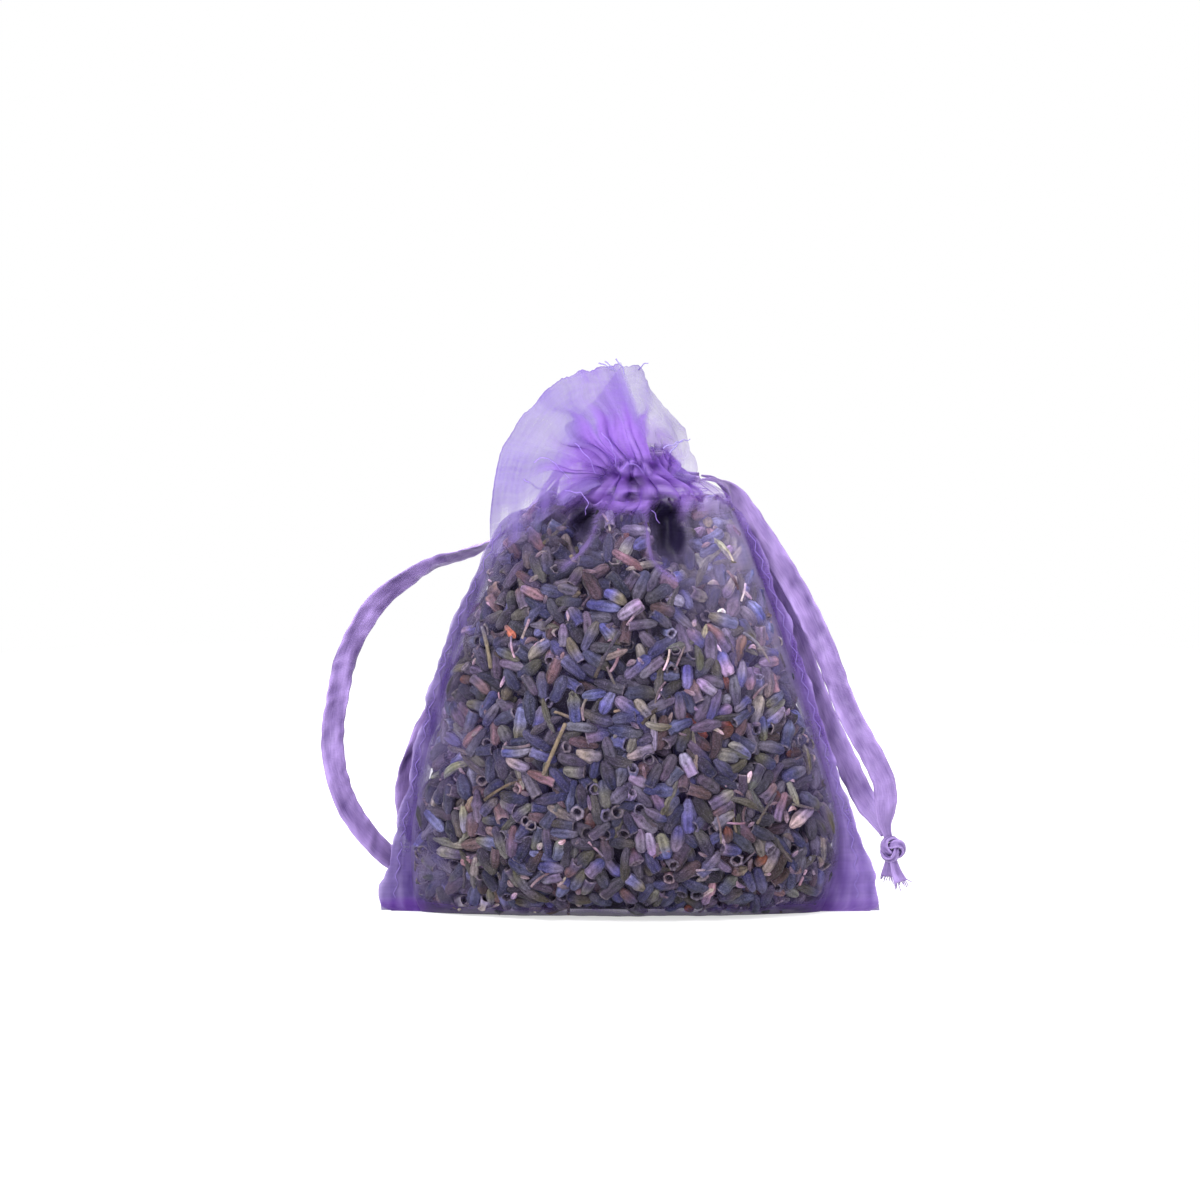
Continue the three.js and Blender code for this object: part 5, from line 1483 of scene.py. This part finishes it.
def grain_meshes(forms, ends, radius, flat, bend, base, tip, rng):
    """All grains' points with their numbers and colours, in one array of grains."""
    table = np.array([RING_SHARES[form] for form in forms])
    forms = np.array(forms)
    is_open = forms == "open"
    along, wide = table[:, 0], table[:, 1]
    count, rings = along.shape
    axis = unit(ends[:, 1] - ends[:, 0])
    length = np.linalg.norm(ends[:, 1] - ends[:, 0], axis=1)
    out = np.array([0, 1.0, 0]) + 0.02 * rng.normal(size=(count, 3))
    out = unit(out - (out * axis).sum(1)[:, None] * axis + 1e-3)
    third = np.cross(axis, out)
    angle = TURN * np.arange(GRAIN_SIDES) / GRAIN_SIDES
    rib = np.cos(angle[None] * 6) * np.where(forms == "rod", 0.4, 1)[:, None]
    lump = 1 + 0.07 * rng.normal(size=(count, rings, 1)) + 0.07 * rng.normal(size=(count, 1, GRAIN_SIDES))
    ribbed = np.where(is_open, 0.025, 0.05)[:, None, None]
    size = radius[:, None, None] * wide[..., None] * (1 + ribbed * rib[:, None]) * lump
    bow = bend[:, None] * length[:, None] * (0.25 - (along - 0.5) ** 2) * 4 * 0.5
    roll = rng.uniform(0, TURN, count)
    side_way = out * np.cos(roll)[:, None] + third * np.sin(roll)[:, None]
    points = (
        ends[:, 0][:, None, None] + axis[:, None, None] * (along * length[:, None])[..., None, None]
        + out[:, None, None] * (size * np.sin(angle) * flat[:, None, None])[..., None]
        + third[:, None, None] * (size * np.cos(angle))[..., None]
        + side_way[:, None, None] * bow[..., None, None]
    )
    # Painted shade inside the mouths of open grains, for the material to read.
    inside = np.zeros((count, rings, GRAIN_SIDES))
    inside[is_open, -2:] = np.array([0.3, 1])[None, :, None]
    blend = smooth_step(0.2, 0.8, along + 0.12 * rng.normal(size=(count, 1)))[..., None, None]
    colour = base[:, None, None] * (1 - blend) + tip[:, None, None] * blend
    colour = colour * (1 + 0.1 * rng.normal(size=(count, rings, 1, 1)))
    middle = ends.mean(1)
    lit = 1 + RIGHT_LIT * smooth_step(2, 14, middle[:, 0]) * smooth_step(24, 42, middle[:, 2])
    colour = colour * lit[:, None, None, None]
    rim = np.where(is_open, 0.4, 0)[:, None, None]
    pale = np.array(linear(188, 168, 182)[:3]) * rng.uniform(0.3, 1, (count, 1, 1))
    for ring in (-3, -2):
        colour[:, ring] = colour[:, ring] * (1 - rim) + pale * rim
    colour = np.broadcast_to(np.clip(colour, 0.004, 1), (count, rings, GRAIN_SIDES, 3))
    ribs = np.broadcast_to(rib[:, None], inside.shape)

    def with_caps(values, low, high):
        """Values of the rings, then of the two end points."""
        return np.concatenate([values.reshape(count, rings * GRAIN_SIDES, -1), low, high], axis=1)

    points = with_caps(points, points[:, 0].mean(1, keepdims=True), points[:, -1].mean(1, keepdims=True))
    colour = with_caps(colour, colour[:, 0, :1], colour[:, -1, :1])
    ribs, inside = (with_caps(x, x[:, 0, :1, None], x[:, -1, :1, None])[..., 0] for x in (ribs, inside))
    return points, colour, ribs, inside


def grain_piece(name, points, colour, ribs, inside):
    """One mesh of many grains, each with its own cell of the unit square."""
    count, per = points.shape[:2]
    _, faces, uv = closed_tube(np.zeros(((per - 2) // GRAIN_SIDES, GRAIN_SIDES, 3)))
    cells = math.ceil(math.sqrt(count))
    cell = np.stack([np.arange(count) % cells, np.arange(count) // cells], axis=1)[:, None, None]
    starts = np.arange(count)[:, None, None] * per
    all_faces = [(f[None] + starts).reshape(-1, f.shape[1]) for f in faces]
    uv = [(UV_MARGIN + u[None] * (1 - 2 * UV_MARGIN) + cell) / cells for u in uv]
    all_uv = [u.reshape(-1, u.shape[2], 2) for u in uv]
    numbers = {"rib": ribs, "inside": inside}
    colours = {"grain_colour": colour.reshape(-1, 3)}
    return mesh_piece(name, points.reshape(-1, 3), all_faces, all_uv, numbers, colours)


def add_lavender(material):
    """All the buds and bits under the cloth, in pieces of a few hundred."""
    rng = np.random.default_rng(7)
    centres, ways, sides, depths = grain_places(rng)
    forms, length, radius, flat, bend, base, tip = choose_grains(rng, len(centres))
    upright = (np.array(forms) == "open") & (rng.random(len(forms)) < UPRIGHT_SHARE)
    ways[upright] = unit(np.stack([0.4 * ways[upright, 0], sides[upright], 0.4 * ways[upright, 2]], axis=1))

    names, given_forms, first, last, given_radius = zip(*frame_grains())
    given_ends = np.stack([first, last], axis=1)
    given = len(names)
    forms = [*given_forms, *forms]
    ends = np.concatenate([given_ends, both_ends(centres, ways, length)])
    sides = np.concatenate([np.sign(given_ends[:, :, 1].mean(1)), sides])
    depths = np.concatenate([np.full(given, 1.0), depths])
    radius = np.concatenate([given_radius, radius])
    lengths = np.linalg.norm(ends[:, 1] - ends[:, 0], axis=1)
    moving = np.arange(len(ends)) >= given
    steps = SETTLE_STEPS
    ends = settle(ends, radius, lengths, sides, depths, moving, steps)

    flips = rng.random(len(ends)) < 0.5
    flips &= ~(np.concatenate([np.zeros(given, bool), upright]))
    ends[flips] = ends[flips][:, ::-1]
    *_, given_base, given_tip = choose_grains(rng, given)
    flat = np.concatenate([[0.45 if form == "leaf" else 1 for form in given_forms], flat])
    bend = np.concatenate([np.zeros(given), bend])
    base = np.concatenate([given_base, base])
    tip = np.concatenate([given_tip, tip])
    arrays = grain_meshes(forms, ends, radius, flat, bend, base, tip, rng)
    piece = grain_piece("lavender_buds_frame", *(x[:given] for x in arrays))
    finish_piece(piece, material, nodes=names)
    for k, part in enumerate(np.array_split(np.arange(given, len(ends)), GRAIN_PIECES)):
        piece = grain_piece(f"lavender_buds_{k + 1}", *(x[part] for x in arrays))
        finish_piece(piece, material)


def add_heap(material):
    """The mass inside, lumpy with packed buds."""
    z = np.linspace(1.1, 0.965 * BODY_HEIGHT, 110)
    z, angle = np.meshgrid(z, TURN * np.linspace(0, 1, 130, endpoint=False), indexing="ij")
    _, fill, _, lean = body_at(z)
    across, deep = np.cos(angle), np.sin(angle)
    x = lean + (np.where(across > 0, fill_at(lean + 1, z)[0], fill) - HEAP_SIDE_ROOM) * across
    y = np.maximum(own_depth(x, z, deep < 0) - HEAP_FACE_ROOM, 0.15) * np.abs(deep) ** 0.3
    rings = np.stack([x, np.where(deep < 0, FRONT, BACK) * y, z], axis=-1)
    lumps = 0.4 * waves(131, rings, 3.4) + 0.25 * waves(132, rings, 1.8)
    rings = rings + unit(rings - np.stack([lean, 0 * z, z], axis=-1)) * lumps[..., None]
    piece = tube_piece("lavender_heap_core", rings)
    finish_piece(piece, material, nodes=["lavender_heap"])


# Floor and light


def add_floor():
    """A white floor that keeps the sachet's soft shadow and fades into a white surround."""
    bpy.ops.mesh.primitive_plane_add(size=FLOOR_SIDE_M)
    floor = bpy.context.object
    floor.name = "floor"
    n = new_material("white_floor")
    away = n.add("VectorMath", {0: n.object_place()}, operation="LENGTH").outputs["Value"]
    shaded = n.made("BsdfDiffuse", {"Color": (0.5, 0.5, 0.5, 1)})
    glow = n.made("Emission", {"Color": WHITE, "Strength": FLOOR_GLOW})
    near = n.made("AddShader", {0: shaded, 1: glow})
    far = n.made("Emission", {"Color": WHITE, "Strength": 1.0})
    plain = n.made("BsdfDiffuse", {"Color": (0.8, 0.8, 0.8, 1)})
    floor.data.materials.append(n.output(n.blend(
        n.seen(), plain, n.blend(n.remap(away, *FLOOR_FADE_M), near, far))))


def add_world():
    """A white surround that lights the sachet less than it shows."""
    world = bpy.data.worlds.new("surround")
    bpy.context.scene.world = world
    n = Nodes(world)
    light, white = (n.made("Background", {"Color": WHITE, "Strength": x}) for x in (SURROUND_LIGHT, 1.0))
    n.output(n.blend(n.seen(), light, white), "World")


def add_lamp(name, place, size, power):
    """A soft square lamp, placed in millimetres and aimed at the sachet."""
    lamp = bpy.data.objects.new(name, bpy.data.lights.new(name, "AREA"))
    bpy.context.scene.collection.objects.link(lamp)
    lamp.data.size = size * MM
    lamp.data.energy = power
    lamp.location = Vector(place) * MM
    lamp.rotation_euler = (LAMP_AIM - Vector(place)).to_track_quat("-Z", "Y").to_euler()


def add_light():
    """The surround and the lamps."""
    add_world()
    for lamp in LAMPS:
        add_lamp(*lamp)


# Assembly

add_camera()
ribbon_cloth = ribbon_material()
left_tails = (LEFT_FRONT_TAIL, LEFT_BACK_TAIL)
right_tails = (RIGHT_FRONT_TAIL, RIGHT_BACK_TAIL)
add_drawstring(-1, "left", (LEFT_FRONT_ROUTE, LEFT_BACK_ROUTE), left_tails, ribbon_cloth)
add_drawstring(1, "right", (RIGHT_FRONT_ROUTE, RIGHT_BACK_ROUTE), right_tails, ribbon_cloth)

deep_violet, pale_violet = linear(84, 66, 132), linear(172, 158, 202)
body_cloth = organza_material("body_organza", deep_violet, pale_violet)
ruffle_cloth = organza_material("ruffle_organza", linear(102, 78, 156), linear(136, 120, 180))
gathered_cloth = organza_material("gathered_organza", deep_violet, pale_violet)
sewing = thread_material("sewing_thread_fibre", linear(92, 70, 148), linear(140, 118, 188))
fray_thread = thread_material("fray_fibre", linear(96, 82, 150), linear(150, 136, 196))
pale_thread = thread_material("pale_fibre", linear(128, 98, 194), linear(158, 130, 214))

add_body(FRONT, "front_cloth", "front_panel", body_cloth)
add_body(BACK, "back_cloth", "back_panel", body_cloth)
add_base(body_cloth)
for hand, where in ((-1, "left"), (1, "right")):
    add_side_band(f"{where}_seam_band", hand, f"{where}_side_seam", gathered_cloth)
    add_seam_stitches(f"{where}_seam_stitches", hand, f"{where}_seam_thread", sewing)
channels = {
    FRONT: add_channel(FRONT, "front_gathered_channel", "front_casing", gathered_cloth),
    BACK: add_channel(BACK, "back_gathered_channel", "back_casing", gathered_cloth),
}
add_lining(gathered_cloth)
add_channel_stitches(sewing, channels)
add_ruffle(
    "front_ruffle_cloth", "front_ruffle", FRONT_RUFFLE, 3, 9, 1, 1, ruffle_cloth,
    lambda u: 0.74 + 0.08 * smooth_step(0.35, 0.7, u))
add_ruffle(
    "back_ruffle_cloth", "back_ruffle", BACK_RUFFLE, 6, 9, 0.4, 0.7, ruffle_cloth,
    lambda u: 0.6 - 0.14 * smooth_step(0.5, 0.85, u))
add_inner_fold(gathered_cloth)
add_loose_threads(fray_thread, pale_thread)
add_heap(painted_shade_heap_material())
add_lavender(grain_material())

add_floor()
add_light()

scene = bpy.context.scene
scene.view_settings.view_transform = "Standard"
scene.cycles.transparent_max_bounces = 32
